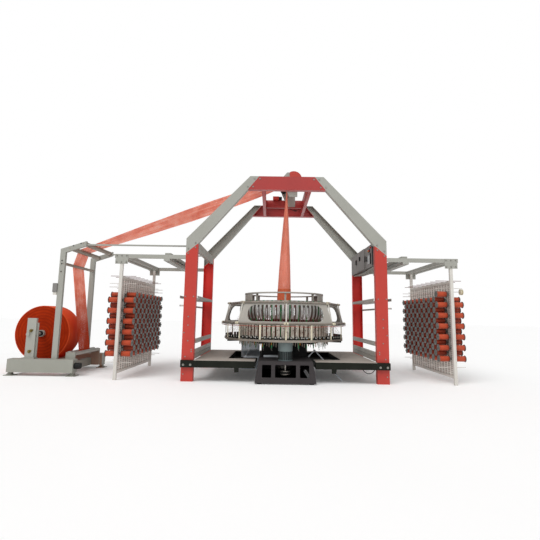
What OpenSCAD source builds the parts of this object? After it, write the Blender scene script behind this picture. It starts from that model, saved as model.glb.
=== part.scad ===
// Circular mesh bag weaving machine: gantry, shuttle loom, take-up, two yarn creels and a winder.
// Lengths in millimetres. The origin is on the floor at the loom's axis, X to the right, Y away, Z up.

/* [Gantry] */
// Outer depth from the front face to the back face
gantry_d = 1771; // [1700:1:1900]
// Width of a post's face
post_w = 196; // [160:1:230]
// Depth of a folded frame member
member_t = 90; // [70:1:110]
// Sheet thickness of the folded members
member_wall = 6; // [4:0.5:9]
// Height of the upper edge of the top beams
beam_top_z = 3450; // [3400:1:3600]
// Height of a top beam's face
beam_h = 238; // [200:1:260]
// Length of a top beam along its upper edge
beam_top_w = 954; // [900:2:1000]
// Length of a top beam along its lower edge
beam_bottom_w = 1336; // [1280:2:1400]
// Width between the arms' upper outer corners
arm_top_w = 1262; // [1200:2:1300]
// Height of the outer knee
knee_z = 2341; // [2300:1:2400]
// Height of the splice at a post's outer edge
splice_outer_z = 2089; // [2060:1:2110]
// Height of the splice at a post's inner edge
splice_inner_z = 2254; // [2230:1:2280]

/* [Deck] */
// Height of the deck's walking surface
deck_z = 345; // [320:1:350]
// Thickness of a deck plate
deck_t = 6; // [4:0.5:10]
// Width of the deck, which the gantry stands round
deck_w = 2940; // [2800:2:3100]
// Gap between the deck's edge and a post
deck_post_gap = 17; // [5:1:40]
// Width of the pit round the loom
pit_w = 1900; // [1800:2:2000]
// Pit edge in front of the loom's axis
pit_front = 620; // [560:1:660]
// Pit edge behind the loom's axis
pit_back = 740; // [680:1:780]
// Height of a deck beam
deck_beam_h = 110; // [90:1:130]
// Width of a deck beam
deck_beam_w = 60; // [40:1:80]

/* [Loom base] */
// Distance of the base box's front face from the loom's axis
base_front = 1050; // [1010:1:1100]
// Distance of its back face
base_back = 600; // [560:1:640]
// Height of the base box's top
base_top_z = 357; // [352:1:370]
// Height of the levelling feet
base_foot_h = 20; // [12:1:40]
// Lean of each side wall, from the bottom in to the top
base_lean = 55; // [40:1:75]
// Width at the bottom
base_bottom_w = 970; // [900:2:1000]
// Wall of the base box
base_wall = 12; // [8:1:16]
// Radius of the motor's body
motor_r = 100; // [85:1:112]
// Height of the motor above the base box
motor_h = 289; // [260:1:320]
// Distance of the motor's axis in front of the loom's axis
motor_y = 900; // [880:1:910]
// Radius of the motor's pulley
motor_pulley_r = 65; // [50:1:80]
// Radius of the loom's pulley
main_pulley_r = 230; // [200:1:260]
// Radius of the fixed centre column
column_r = 50; // [40:1:60]

/* [Loom head] */
// Height of the lower warp ring's underside
lower_ring_z = 650; // [620:1:670]
// Step from the mid rail's corners in to those of the lower warp ring
ring_step = 40; // [25:1:55]
// Height of the guide shelf's underside
shelf_z = 920; // [890:1:940]
// Vertex radius of the mid rail
mid_rail_r = 1140; // [1120:1:1160]
// Vertex radius of the upper rail
upper_rail_r = 1020; // [1000:1:1040]
// Height of the upper rail's axis
upper_rail_z = 1290; // [1270:1:1310]
// Tube radius of the rails
rail_r = 16; // [12:0.5:18]
// Inner radius of the reed ring
reed_r = 670; // [664:1:690]
// Height of the reed ring's underside
reed_z = 900; // [880:1:920]
// Height of the reed ring
reed_h = 430; // [400:1:440]
// Number of reed dents
reed_dents = 96; // [64:32:128]
// Inner radius of the heald straps
heald_r = 770; // [760:1:790]
// Length of a heald strap
heald_len = 800; // [760:1:820]
// Height of the top ring's upper face
top_ring_z = 1475; // [1450:1:1500]

/* [Fabric and take-up] */
// Radius of the woven tube at the loom
tube_r = 128; // [110:1:140]
// Flat width of the fabric
flat_w = 410; // [380:1:420]
// Thickness of the flat fabric
web_t = 3.6; // [3.2:0.1:4.4]
// Height of the nip between the take-up rollers
nip_z = 3600; // [3580:1:3640]
// Sideways place of the nip
nip_x = 35; // [20:1:50]
// Radius of the nip rollers
nip_r = 55; // [45:1:60]
// Sideways tilt of the web in mid span, in degrees
web_tilt = 20; // [0:1:22]

/* [Creels] */
// Distance of a creel's panel from the loom's axis
creel_x = 2750; // [2700:1:2850]
// Height of the creel beams' upper face
creel_top_z = 2056; // [2040:1:2070]
// Columns of yarn packages
pack_cols = 16; // [12:2:16]
// Rows of yarn packages
pack_rows = 6; // [4:1:6]
// Distance between rows
row_pitch = 177; // [160:1:180]
// Distance between columns
col_pitch = 102; // [101:0.5:104]
// Height of the first row
row_base_z = 410; // [390:1:430]
// Radius of a yarn package
pack_r = 46; // [40:1:49]
// Length of a yarn package
pack_len = 165; // [140:1:180]

/* [Winder] */
// Distance of the winder's left end from the loom's axis
winder_far = 4685; // [4660:1:4720]
// Distance of the winder's right end
winder_near = 3570; // [3550:1:3590]
// Width of the winder over its base boxes
winder_w = 1240; // [1200:2:1300]
// Distance of the winding shaft from the loom's axis
roll_x = 4390; // [4370:1:4410]
// Height of the winding shaft
roll_z = 690; // [685:1:705]
// Radius of the wound roll
roll_r = 500; // [430:1:505]
// Height of the winder's posts
winder_post_z = 2125; // [2110:1:2140]

/* [Control cabinet] */
// Height of the cabinet's underside
cabinet_z = 1940; // [1920:1:1960]
// Height of the cabinet
cabinet_h = 390; // [360:1:400]
// Depth of the cabinet
cabinet_d = 200; // [180:1:220]

/* [Hidden] */
$fn = 64;
// Overrun of every cut
overrun = 5;
// Gap between pieces that seat on each other
seat_gap = 0.4;
// Radial running clearance of shafts
shaft_fit = 0.05;
// Clearance of moving covers and plates
move_gap = 2;

half_w = deck_w / 2 + deck_post_gap + post_w;
front_y = -gantry_d / 2;
inner_y = gantry_d / 2 - member_t;
post_in_x = half_w - post_w;
beam_bottom_z = beam_top_z - beam_h;

// Take-up rails and cross beams
takeup_rail_x = 370;
takeup_rail_w = 60;
cross_beam_t = 40;
cross_beam_y = 330;
cross_beam_h = 160;
cross_beam_drop = 30;

// Knee tie
tie_w = 60;
tie_h = 150;
tie_z = (splice_outer_z + knee_z - tie_h) / 2;

// Side yarn guides: trough, rod and three bars
trough_w = 300;
trough_h = 46;
trough_wall = 4;
trough_z = 1335;
trough_out = 90;
guide_rod_r = 16;
guide_rod_z = 1215;
side_bar_w = 34;
side_bar_h = 70;
side_bar_zs = [352, 430, 600];

// Deck details
deck_gap = 2;
deck_front_y = -(gantry_d / 2 + deck_beam_w);
deck_back_y = gantry_d / 2 + deck_beam_w;
deck_beam_z = deck_z - deck_t - deck_beam_h;
deck_bracket_x = 750;
deck_bracket_w = 70;
deck_bracket_h = 75;

// Base box details
base_top_w = base_bottom_w - 2 * base_lean;
window_side_w_share = 0.1686;
window_mid_w_share = 0.3837;
window_side_x_share = 0.3465;
window_side_w = base_top_w * window_side_w_share;
window_mid_w = base_top_w * window_mid_w_share;
window_h = 195;
window_z = 105;
window_side_x = base_top_w * window_side_x_share;
window_r = 14;
base_foot_r = 38;
base_foot_inset = 70;

// Motor details
motor_shaft_r = 14;
motor_flange_r = 118;
motor_flange_t = 18;
motor_rib_n = 28;
motor_rib_h = 9;
motor_rib_t = 4;
motor_rib_share = 0.6;
motor_cap_r_share = 0.86;
motor_edge = 12;
motor_seat_depth = 40;

// Belt drive
pulley_z = 140;
pulley_w = 56;
pulley_rim = 8;
belt_w = 40;
belt_t = 6;

// Column, shaft and former
column_foot_r = 160;
column_foot_t = 20;
shaft_wall = 25;
shaft_z = 120;
carrier_z = 960;
carrier_t = 40;
carrier_arm_w = 70;
carrier_hub_r = 170;
former_z = 1240;
former_h = 60;
former_wall = 18;

// Bed, columns, arms and reed posts
bed_r = 640;
bed_hole_r = 200;
bed_t = 30;
arm_bar_w = 40;
arm_bar_h = 30;
arm_bar_in_r = 480;
bed_z = lower_ring_z - arm_bar_h - bed_t;
bed_column_w = 120;
bed_column_edge = 100;
bed_column_x = base_top_w / 2 - bed_column_edge;
reed_post_w = 30;
reed_post_r = 720;

// Lower ring, posts, guide blocks and shelf
warp_sides = 16;
rail_sides = 8;
lower_ring_r = mid_rail_r - ring_step;
lower_ring_w = 44;
lower_ring_h = 36;
ring_post_w = 26;
ring_post_t = 10;
block_w = 40;
block_d = 26;
block_h = 56;
blocks_per_side = 4;
shelf_w = 130;
shelf_t = 6;
shelf_lap = 26;
mid_rail_z = shelf_z + shelf_t + rail_r;
strut_w = 18;
strut_ball_r = 22;
strut_step = 12;

// Guard plates
guard_t = 3;
guard_side_gap = 24;
guard_window_h_share = 0.78;
guard_window_side_share = 0.15;

// Reed and healds
reed_flange_t = 12;
reed_dent_d = 28;
reed_dent_t = 4;
heald_n = 32;
heald_w = 22;
heald_t = 3;
heald_z = 530;

// Top ring
top_ring_r = 735;
top_ring_w = 90;
top_ring_t = 20;
top_post_w = 30;
cheek_t = 3;
cheek_inset = 6;
cheek_angle = 76;

// Shuttles
shuttle_n = 4;
shuttle_r = 655;
shuttle_w = 78;
shuttle_h = 80;
shuttle_angle = 45;
shuttle_edge = 22;
shuttle_facets = 384;
weft_r = 36;
weft_len = 200;

// Take-up plates, cover and drive
takeup_plate_t = 20;
takeup_plate_drop = 320;
takeup_plate_rise = 150;
takeup_left = 85;
takeup_right = 185;
takeup_foot = 30;
takeup_top_in = 10;
takeup_top_out = 63;
takeup_cut = 60;
cover_x = 115;
cover_drop = 135;
roller_shaft_r = 12;
cover_r = 150;
cover_t = 30;
drive_box_w = 120;
drive_box_d = 120;
drive_box_h = 70;
drive_motor_r = 40;
drive_motor_len = 60;

// Fabric
web_gap = 0.6;
tube_sides = 28;
tube_rings = 16;
tube_top_drop = 40;
tube_flat_power = 1.4;
web_tilt_power = 0.7;
web_arc_step = 10;
arc_steps = 10;
span_steps = 14;

// Creels
leg_w = 50;
creel_beam_w = 40;
creel_beam_h = 66;
creel_beam_over = 120;
panel_rail_h = 40;
panel_rail_w = 30;
panel_bottom_z = 100;
panel_top_z = 1650;
panel_bar_w = 58;
panel_bar_t = 8;
bracket_w = 210;
bracket_h = 165;
bracket_t = 6;
creel_cross_w = 40;
creel_cross_gap = 50;
comb_x = 2000;
comb_w = 100;
comb_t = 20;
comb_teeth = 60;
comb_tooth_h = 40;
comb_tooth_share = 0.4;
comb_low_h = 36;
guide_wire_r = 5;
guide_wire_len = 430;
bare_spindle_r = 4.5;
bare_spindle_len = 450;
bare_spindle_zs = [270, 1510, 1570];
spindle_r = 8;
pack_gap = 44;
disc_r = 54;
disc_t = 4;
spindle_tip = 22;
pack_fit = 0.3;

// Winder
winder_box_w = 150;
winder_box_z = 60;
winder_box_h = 220;
winder_beam_h = 140;
winder_beam_w = 85;
winder_beam_in = 205;
foot_plate_w = 150;
foot_plate_t = 12;
foot_riser_w = 60;
foot_hole_r = 9;
foot_hole_out = 52;
foot_inset = 30;
winder_post_x = 3924;
winder_post_w = 92;
winder_post_t = 50;
winder_arm_h = 60;
winder_arm_rise = 150;
winder_arm_len = 350;
guide_a_x = 3580;
guide_a_z = 2290;
guide_a_r = 40;
guide_b_x = 3810;
guide_b_z = 2200;
guide_b_r = 40;
guide_c_x = 3905;
guide_c_z = 1925;
guide_c_r = 25;
feed_x = 3740;
feed_z = 360;
feed_r = 45;
press_r = 35;
roller_len_gap = 4;
bracket_plate_t = 20;
bracket_plate_top = 24;
stand_left = 45;
stand_right = 110;
stand_plate_x = 42;
stand_plate_w = 92;
stand_plate_t = 12;
stand_plate_drop = 80;
stand_foot_t = 20;
stand_foot_out = 30;
stand_t = 40;
stand_top_z = 966;
winding_shaft_r = 28;
core_r = 60;
core_out = 40;
tie_bar_w = 25;
tie_bar_drop = 30;
winder_motor_r = 52;
winder_motor_len = 95;
winder_motor_y = 545;
switch_w = 74;
switch_d = 70;
switch_out = 20;
switch_h = 155;
switch_z = 1420;
winder_half = winder_w / 2;
winder_post_y = winder_half - (winder_box_w + winder_post_t) / 2;

// Cabinet
cabinet_wall = 4;
cabinet_len = 2 * inner_y;
door_back_share = 0.3;
door_mid_share = 0.35;
door_t = 18;
door_gap = 3;
button_r = 16;
button_travel = 6;
button_out = 14;
button_stem_r = 8;
screen_w = 180;
screen_h = 120;
screen_t = 4;
button_drop = 60;

// Intersection of two lines, each a point and a direction
function line_cross(p, u, q, v) = p + u * cross(q - p, v) / cross(u, v);

// Outline moved inwards by d, for points that run anticlockwise
function inset(pts, d) = let (n = len(pts)) [
    for (i = [0:n - 1])
        let (
            a = pts[(i + n - 1) % n],
            b = pts[i],
            c = pts[(i + 1) % n],
            u = (b - a) / norm(b - a),
            v = (c - b) / norm(c - b)
        )
        line_cross(a + d * [-u[1], u[0]], u, b + d * [-v[1], v[0]], v)
];

// Points of an arc about a centre, in steps
function arc_points(c, r, from, to, steps) = [
    for (i = [0:steps])
        let (a = from + (to - from) * i / steps)
        c + r * [cos(a), sin(a)]
];

// Window outline about c with one round end, which runs out straight at the end that w points to
function run_out(c, w, h) = let (
    turn = w > 0 ? 90 : -90,
    side = sign(w) * h / 2,
    end_x = c[0] + w / 2
) concat(
    arc_points([c[0] - w / 2 + side, c[1]], h / 2, turn, turn + 180, arc_steps),
    [[end_x, c[1] - side], [end_x, c[1] + side]]
);

// Copies of the children on both sides of the loom's axis
module both_sides() {
    children();
    mirror([1, 0, 0]) children();
}

// Copies of the children in front and behind
module both_faces() {
    children();
    mirror([0, 1, 0]) children();
}

// Copies of the children round the loom's axis
module around(n, start = 0) {
    for (i = [0:n - 1]) rotate([0, 0, start + i * 360 / n]) children();
}

// Box between two opposite corners
module box(a, b) {
    translate(a) cube(b - a);
}

// Outline in X and Z, pushed from y0 to y1
module slab_y(y0, y1) {
    translate([0, y1, 0]) rotate([90, 0, 0]) linear_extrude(y1 - y0) children();
}

// Round bar along Y, with its middle at c
module bar_y(c, r, len) {
    translate(c) rotate([90, 0, 0]) cylinder(r = r, h = len, center = true);
}

// Folded frame member at the front: a web with a flange on every edge, open to the back
module tray(pts) {
    difference() {
        slab_y(front_y, -inner_y) polygon(pts);
        slab_y(front_y + member_wall, -inner_y + overrun) polygon(inset(pts, member_wall));
    }
}

post_points = [
    [post_in_x, 0], [half_w, 0], [half_w, splice_outer_z], [post_in_x, splice_inner_z]
];
arm_points = [
    [half_w, splice_outer_z], [half_w, knee_z], [arm_top_w / 2, beam_top_z],
    [beam_top_w / 2, beam_top_z], [beam_bottom_w / 2, beam_bottom_z], [post_in_x, splice_inner_z]
];
beam_points = [
    [-beam_bottom_w / 2, beam_bottom_z], [beam_bottom_w / 2, beam_bottom_z],
    [beam_top_w / 2, beam_top_z], [-beam_top_w / 2, beam_top_z]
];

module front_posts() {
    color("firebrick") both_sides() tray(post_points);
}

module back_posts() {
    color("firebrick") mirror([0, 1, 0]) both_sides() tray(post_points);
}

module front_arms() {
    color("darkgray") both_sides() tray(arm_points);
}

module back_arms() {
    color("darkgray") mirror([0, 1, 0]) both_sides() tray(arm_points);
}

module top_beams() {
    color("firebrick") both_faces() tray(beam_points);
}

// Two rails between the top beams, and two cross beams that carry the take-up
module takeup_rails() {
    cross_z = beam_top_z - cross_beam_drop;
    cross_x = takeup_rail_x - seat_gap;
    color("firebrick") {
        both_sides() box(
            [takeup_rail_x, -inner_y, beam_bottom_z],
            [takeup_rail_x + takeup_rail_w, inner_y, beam_top_z]
        );
        both_faces() box(
            [-cross_x, cross_beam_y, cross_z - cross_beam_h],
            [cross_x, cross_beam_y + cross_beam_t, cross_z]
        );
    }
}

module knee_tie() {
    color("darkgray") box(
        [-post_in_x - tie_w, -inner_y, tie_z],
        [-post_in_x, inner_y, tie_z + tie_h]
    );
}

// Folded trough, guide rod and flat bars between the posts of each side
module yarn_guides() {
    trough_x = half_w + trough_out - trough_w;
    rod_x = half_w - member_wall / 2;
    bar_x = post_in_x + (member_wall - side_bar_w) / 2;
    color("silver") both_sides() {
        difference() {
            box([trough_x, -inner_y, trough_z], [trough_x + trough_w, inner_y, trough_z + trough_h]);
            box(
                [trough_x + trough_wall, -inner_y - overrun, trough_z + trough_wall],
                [trough_x + trough_w - trough_wall, inner_y + overrun, trough_z + trough_h + overrun]
            );
        }
        bar_y([rod_x, 0, guide_rod_z], guide_rod_r, 2 * inner_y);
        for (z = side_bar_zs) box(
            [bar_x, -inner_y, z],
            [bar_x + side_bar_w, inner_y, z + side_bar_h]
        );
    }
}

// Plates round the pit: two wide sides, two short front pieces beside the base box and one at the back
module deck_plates() {
    lower = deck_z - deck_t;
    pit_x = pit_w / 2;
    base_x = base_bottom_w / 2 + move_gap;
    side_x = deck_w / 2;
    color("dimgray") {
        both_sides() {
            box([pit_x, deck_front_y, lower], [side_x, deck_back_y, deck_z]);
            box([base_x, deck_front_y, lower], [pit_x - deck_gap, -pit_front, deck_z]);
        }
        box([-pit_x + deck_gap, pit_back, lower], [pit_x - deck_gap, deck_back_y, deck_z]);
    }
}

// Beams outside the posts, joists between them and wedges under the front beam
module deck_beams() {
    top = deck_beam_z + deck_beam_h;
    base_x = base_bottom_w / 2 + move_gap;
    joist_y = gantry_d / 2 - seat_gap;
    joist_out = pit_w / 2 + deck_beam_w;
    edge_x = deck_w / 2;
    color("dimgray") {
        both_sides() {
            box([base_x, deck_front_y, deck_beam_z], [half_w, front_y, top]);
            box([pit_w / 2, -joist_y, deck_beam_z], [joist_out, joist_y, top]);
            box([edge_x - deck_beam_w, -joist_y, deck_beam_z], [edge_x, joist_y, top]);
            translate([deck_bracket_x, deck_front_y, deck_beam_z])
                rotate([90, 0, 90]) linear_extrude(deck_bracket_w)
                    polygon([[0, 0], [deck_beam_w, 0], [deck_beam_w, -deck_bracket_h]]);
        }
        box([-half_w, -front_y, deck_beam_z], [half_w, deck_back_y, top]);
    }
}

base_outline = [
    [-base_bottom_w / 2, base_foot_h], [base_bottom_w / 2, base_foot_h],
    [base_top_w / 2, base_top_z], [-base_top_w / 2, base_top_z]
];

// Open-bottomed box with three windows in its front, on four levelling feet
module loom_base() {
    inner = inset(base_outline, base_wall);
    pocket = [
        inner[0] - [0, base_wall + overrun], inner[1] - [0, base_wall + overrun], inner[2], inner[3]
    ];
    foot_x = base_bottom_w / 2 - base_foot_inset;
    color("dimgray") {
        difference() {
            slab_y(-base_front, base_back) polygon(base_outline);
            slab_y(-base_front + base_wall, base_back - base_wall) polygon(pocket);
            for (w = [
                [-window_side_x, window_side_w], [0, window_mid_w], [window_side_x, window_side_w]
            ])
                slab_y(-base_front - overrun, -base_front + base_wall + overrun)
                    polygon(round_rect([w[0], window_z + window_h / 2], w[1], window_h, window_r));
            translate([0, -motor_y, 0]) cylinder(r = motor_shaft_r + move_gap, h = base_top_z + overrun);
            cylinder(r = column_r + shaft_wall + move_gap, h = base_top_z + overrun);
        }
        both_sides() for (y = [-base_front + base_foot_inset, base_back - base_foot_inset])
            translate([foot_x, y, 0]) {
                cylinder(r = base_foot_r, h = base_foot_h / 2);
                cylinder(r = base_foot_r / 2, h = base_foot_h + base_wall);
            }
        both_sides() for (y = [-base_front + base_foot_inset, base_back - base_foot_inset])
            box(
                [foot_x - base_foot_r, y - base_foot_r, base_foot_h],
                [base_bottom_w / 2 - base_wall, y + base_foot_r, base_foot_h + base_wall]
            );
    }
}

// Corner-rounded rectangle centred on c
function round_rect(c, w, h, r) = concat(
    arc_points(c + [w / 2 - r, r - h / 2], r, -90, 0, arc_steps / 2),
    arc_points(c + [w / 2 - r, h / 2 - r], r, 0, 90, arc_steps / 2),
    arc_points(c + [r - w / 2, h / 2 - r], r, 90, 180, arc_steps / 2),
    arc_points(c + [r - w / 2, r - h / 2], r, 180, 270, arc_steps / 2)
);

// Vertical motor: mounting flange, ribbed body and a smooth domed cap
module main_motor() {
    body_h = motor_h - motor_flange_t;
    rib_h = body_h * motor_rib_share;
    cap_r = motor_r * motor_cap_r_share;
    color("slategray") translate([0, -motor_y, base_top_z]) difference() {
        union() {
            rotate_extrude() polygon([
                [0, 0], [motor_flange_r, 0], [motor_flange_r, motor_flange_t], [motor_r, motor_flange_t],
                [motor_r, motor_flange_t + rib_h], [cap_r + motor_edge, motor_flange_t + rib_h],
                [cap_r + motor_edge, motor_h - motor_edge], [cap_r, motor_h], [0, motor_h]
            ]);
            around(motor_rib_n) box(
                [motor_r - motor_rib_t, -motor_rib_t / 2, motor_flange_t - overrun],
                [motor_r + motor_rib_h, motor_rib_t / 2, motor_flange_t + rib_h - motor_edge]
            );
        }
        translate([0, 0, -overrun]) cylinder(r = motor_shaft_r + shaft_fit, h = motor_seat_depth + overrun);
    }
}

// Grooved pulley with two rims, from z = 0
module pulley(r) {
    rim_r = r + belt_t + pulley_rim;
    side = (pulley_w - belt_w) / 2;
    rotate_extrude() polygon([
        [0, 0], [rim_r, 0], [rim_r, side - seat_gap], [r, side - seat_gap],
        [r, pulley_w - side + seat_gap], [rim_r, pulley_w - side + seat_gap], [rim_r, pulley_w],
        [0, pulley_w]
    ]);
}

module motor_pulley() {
    color("silver") translate([0, -motor_y, 0]) {
        translate([0, 0, pulley_z]) pulley(motor_pulley_r);
        translate([0, 0, pulley_z])
            cylinder(r = motor_shaft_r, h = base_top_z + motor_seat_depth - move_gap - pulley_z);
    }
}

// Outline of a belt round two pulleys on the Y axis, grown by d
function belt_points(d) = let (
    a = asin((main_pulley_r - motor_pulley_r) / motor_y)
) concat(
    arc_points([0, 0], main_pulley_r + d, -a, 180 + a, 3 * arc_steps),
    arc_points([0, -motor_y], motor_pulley_r + d, 180 + a, 360 - a, 2 * arc_steps)
);

module drive_belt() {
    side = (pulley_w - belt_w) / 2;
    color("black") translate([0, 0, pulley_z + side]) linear_extrude(belt_w) difference() {
        polygon(belt_points(belt_t + move_gap / 2));
        polygon(belt_points(move_gap / 2));
    }
}

// Fixed post at the loom's axis, with a foot plate on the floor
module centre_column() {
    color("dimgray") {
        cylinder(r = column_foot_r, h = column_foot_t);
        cylinder(r = column_r, h = former_z);
    }
}

// Cone that spreads the woven tube, on top of the column
module fabric_former() {
    top = former_z + former_h;
    color("silver") rotate_extrude() polygon([
        [0, former_z], [column_r, former_z], [tube_r, top - former_wall], [tube_r, top],
        [tube_r - former_wall, top], [column_r, former_z + former_wall], [0, former_z + former_wall]
    ]);
}

// Hollow shaft that turns round the column, with the driven pulley at its foot
module main_shaft() {
    bore_r = column_r + shaft_fit;
    tube_out_r = column_r + shaft_wall;
    color("silver") difference() {
        union() {
            translate([0, 0, pulley_z]) pulley(main_pulley_r);
            translate([0, 0, shaft_z]) cylinder(r = tube_out_r, h = carrier_z - shaft_z);
        }
        cylinder(r = bore_r, h = former_z);
    }
}

// Hub plate with four arms that push the shuttles round
module shuttle_carrier() {
    color("gray") translate([0, 0, carrier_z]) difference() {
        union() {
            cylinder(r = carrier_hub_r, h = carrier_t);
            around(shuttle_n) box(
                [0, -carrier_arm_w / 2, 0],
                [shuttle_r - shuttle_edge, carrier_arm_w / 2, carrier_t]
            );
        }
        translate([0, 0, -overrun]) cylinder(r = column_r + shaft_fit, h = carrier_t + 2 * overrun);
    }
}

// Curved shuttles, each with a weft bobbin in its cradle
module shuttles() {
    low = carrier_z + carrier_t;
    in_r = shuttle_r - shuttle_w;
    mid_r = shuttle_r - shuttle_w / 2;
    color("gainsboro") around(shuttle_n) {
        rotate([0, 0, -shuttle_angle / 2])
            rotate_extrude(angle = shuttle_angle, $fn = shuttle_facets)
                polygon([
                    [in_r, low], [shuttle_r - shuttle_edge, low], [shuttle_r, low + shuttle_edge],
                    [shuttle_r, low + shuttle_h - shuttle_edge],
                    [shuttle_r - shuttle_edge, low + shuttle_h], [in_r, low + shuttle_h]
                ]);
    }
    color("orangered") around(shuttle_n)
        bar_y([mid_r, 0, low + shuttle_h + weft_r + seat_gap], weft_r, weft_len);
}

module bed_plate() {
    color("black") translate([0, 0, bed_z]) difference() {
        cylinder(r = bed_r, h = bed_t);
        translate([0, 0, -overrun]) cylinder(r = bed_hole_r, h = bed_t + 2 * overrun);
    }
}

module bed_columns() {
    color("black") both_sides() both_faces() box(
        [bed_column_x - bed_column_w / 2, bed_column_x - bed_column_w / 2, base_top_z],
        [bed_column_x + bed_column_w / 2, bed_column_x + bed_column_w / 2, bed_z]
    );
}

// Radial bars on the bed plate that carry the lower ring, and posts on them that carry the reed
module ring_arms() {
    out_r = lower_ring_r - lower_ring_w / 2;
    low = lower_ring_z - arm_bar_h;
    color("dimgray") around(rail_sides, 180 / rail_sides) {
        box([arm_bar_in_r, -arm_bar_w / 2, low], [out_r, arm_bar_w / 2, lower_ring_z]);
        box(
            [reed_post_r - reed_post_w / 2, -reed_post_w / 2, lower_ring_z - overrun],
            [reed_post_r + reed_post_w / 2, reed_post_w / 2, reed_z]
        );
    }
}

// One straight side of a many-sided ring, between two vertex radii
module ring_side(n, out_r, in_r) {
    h = 180 / n;
    side_out = out_r * sin(h) - seat_gap;
    side_in = in_r * sin(h) - seat_gap;
    polygon([
        [in_r * cos(h), -side_in], [out_r * cos(h), -side_out], [out_r * cos(h), side_out],
        [in_r * cos(h), side_in]
    ]);
}

module lower_warp_ring() {
    color("silver") translate([0, 0, lower_ring_z]) around(warp_sides, 180 / warp_sides)
        linear_extrude(lower_ring_h) ring_side(warp_sides, lower_ring_r, lower_ring_r - lower_ring_w);
}

// Black warp guide blocks, four on each side of the lower ring
module guide_blocks() {
    top = lower_ring_z + lower_ring_h;
    mid_r = (lower_ring_r - lower_ring_w / 2) * cos(180 / warp_sides);
    pitch = 2 * lower_ring_r * sin(180 / warp_sides) / (blocks_per_side + 1);
    color("black") around(warp_sides, 180 / warp_sides) for (i = [0:blocks_per_side - 1])
        translate([mid_r, (i - (blocks_per_side - 1) / 2) * pitch, top]) box(
            [-block_d / 2, -block_w / 2, 0],
            [block_d / 2, block_w / 2, block_h]
        );
}

module ring_posts() {
    mid_r = lower_ring_r - lower_ring_w / 2;
    color("silver") around(warp_sides) box(
        [mid_r - ring_post_t / 2, -ring_post_w / 2, lower_ring_z + lower_ring_h],
        [mid_r + ring_post_t / 2, ring_post_w / 2, shelf_z]
    );
}

module guide_shelf() {
    out_r = mid_rail_r + shelf_lap;
    color("silver") translate([0, 0, shelf_z]) around(rail_sides, 180 / rail_sides)
        linear_extrude(shelf_t) ring_side(rail_sides, out_r, out_r - shelf_w);
}

// Straight tubes of one rail, short of its corners by d
module rail_tubes(r, z, d) {
    h = 180 / rail_sides;
    around(rail_sides, h) bar_y([r * cos(h), 0, z], rail_r, 2 * (r * sin(h) - d));
}

module guard_rails() {
    color("lightgray") {
        rail_tubes(mid_rail_r, mid_rail_z, rail_r);
        rail_tubes(upper_rail_r, upper_rail_z, strut_ball_r + seat_gap);
    }
}

// Slanted struts from the shelf to ball joints at the upper rail's corners
module rail_struts() {
    foot_r = mid_rail_r - rail_r - strut_w / 2 - strut_step;
    low = shelf_z + shelf_t;
    color("whitesmoke") around(rail_sides) {
        translate([upper_rail_r, 0, upper_rail_z]) sphere(r = strut_ball_r);
        slab_y(-strut_w / 2, strut_w / 2) polygon([
            [foot_r - strut_w / 2, low], [foot_r + strut_w / 2, low],
            [upper_rail_r + strut_w / 2, upper_rail_z], [upper_rail_r - strut_w / 2, upper_rail_z]
        ]);
    }
}

// Sloped plates between the two rails, each with a round-ended window
module guard_plates() {
    h = 180 / rail_sides;
    run = (mid_rail_r - upper_rail_r) * cos(h);
    rise = upper_rail_z - mid_rail_z;
    slant = norm([run, rise]);
    low_half = mid_rail_r * sin(h) - guard_side_gap;
    top_half = upper_rail_r * sin(h) - guard_side_gap;
    window_h = slant * guard_window_h_share;
    mid_half = (low_half + top_half) / 2;
    window_in = mid_half * (1 - 2 * guard_window_side_share);
    window_w = window_in + low_half + overrun;
    shift = (low_half + overrun - window_in) / 2;
    color("lightgray") for (i = [0:rail_sides - 1]) {
        // The window runs out of the plate on the side towards the front or the back
        flip = (i % 4 == 0 || i % 4 == 3) ? 1 : -1;
        toward = (i < rail_sides / 2) ? 1 : -1;
        near = flip * toward;
        rotate([0, 0, h + i * 360 / rail_sides])
            translate([mid_rail_r * cos(h), 0, mid_rail_z])
                rotate([0, -atan2(run, rise), 0])
                    translate([-rail_r - seat_gap - guard_t, 0, 0])
                        rotate([90, 0, 90]) linear_extrude(guard_t) difference() {
                            polygon([
                                [-low_half, 0], [low_half, 0], [top_half, slant], [-top_half, slant]
                            ]);
                            polygon(run_out([near * shift, slant / 2], near * window_w, window_h));
                        }
    }
}

// Ring of reed dents between two flanges
module reed_ring() {
    color("lightgray") translate([0, 0, reed_z]) {
        for (z = [0, reed_h - reed_flange_t]) translate([0, 0, z]) difference() {
            cylinder(r = heald_r - seat_gap, h = reed_flange_t);
            translate([0, 0, -overrun]) cylinder(r = reed_r, h = reed_flange_t + 2 * overrun);
        }
        around(reed_dents) box(
            [reed_r + reed_dent_t, -reed_dent_t / 2, reed_flange_t],
            [reed_r + reed_dent_t + reed_dent_d, reed_dent_t / 2, reed_h - reed_flange_t]
        );
    }
}

// Every second heald strap
module heald_set(start) {
    around(heald_n / 2, start) {
        box(
            [heald_r, -heald_w / 2, heald_z],
            [heald_r + heald_t, heald_w / 2, heald_z + heald_len]
        );
    }
}

module heald_set_a() {
    color("seagreen") heald_set(180 / heald_n);
}

module heald_set_b() {
    color("mediumseagreen") heald_set(3 * 180 / heald_n);
}

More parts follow.
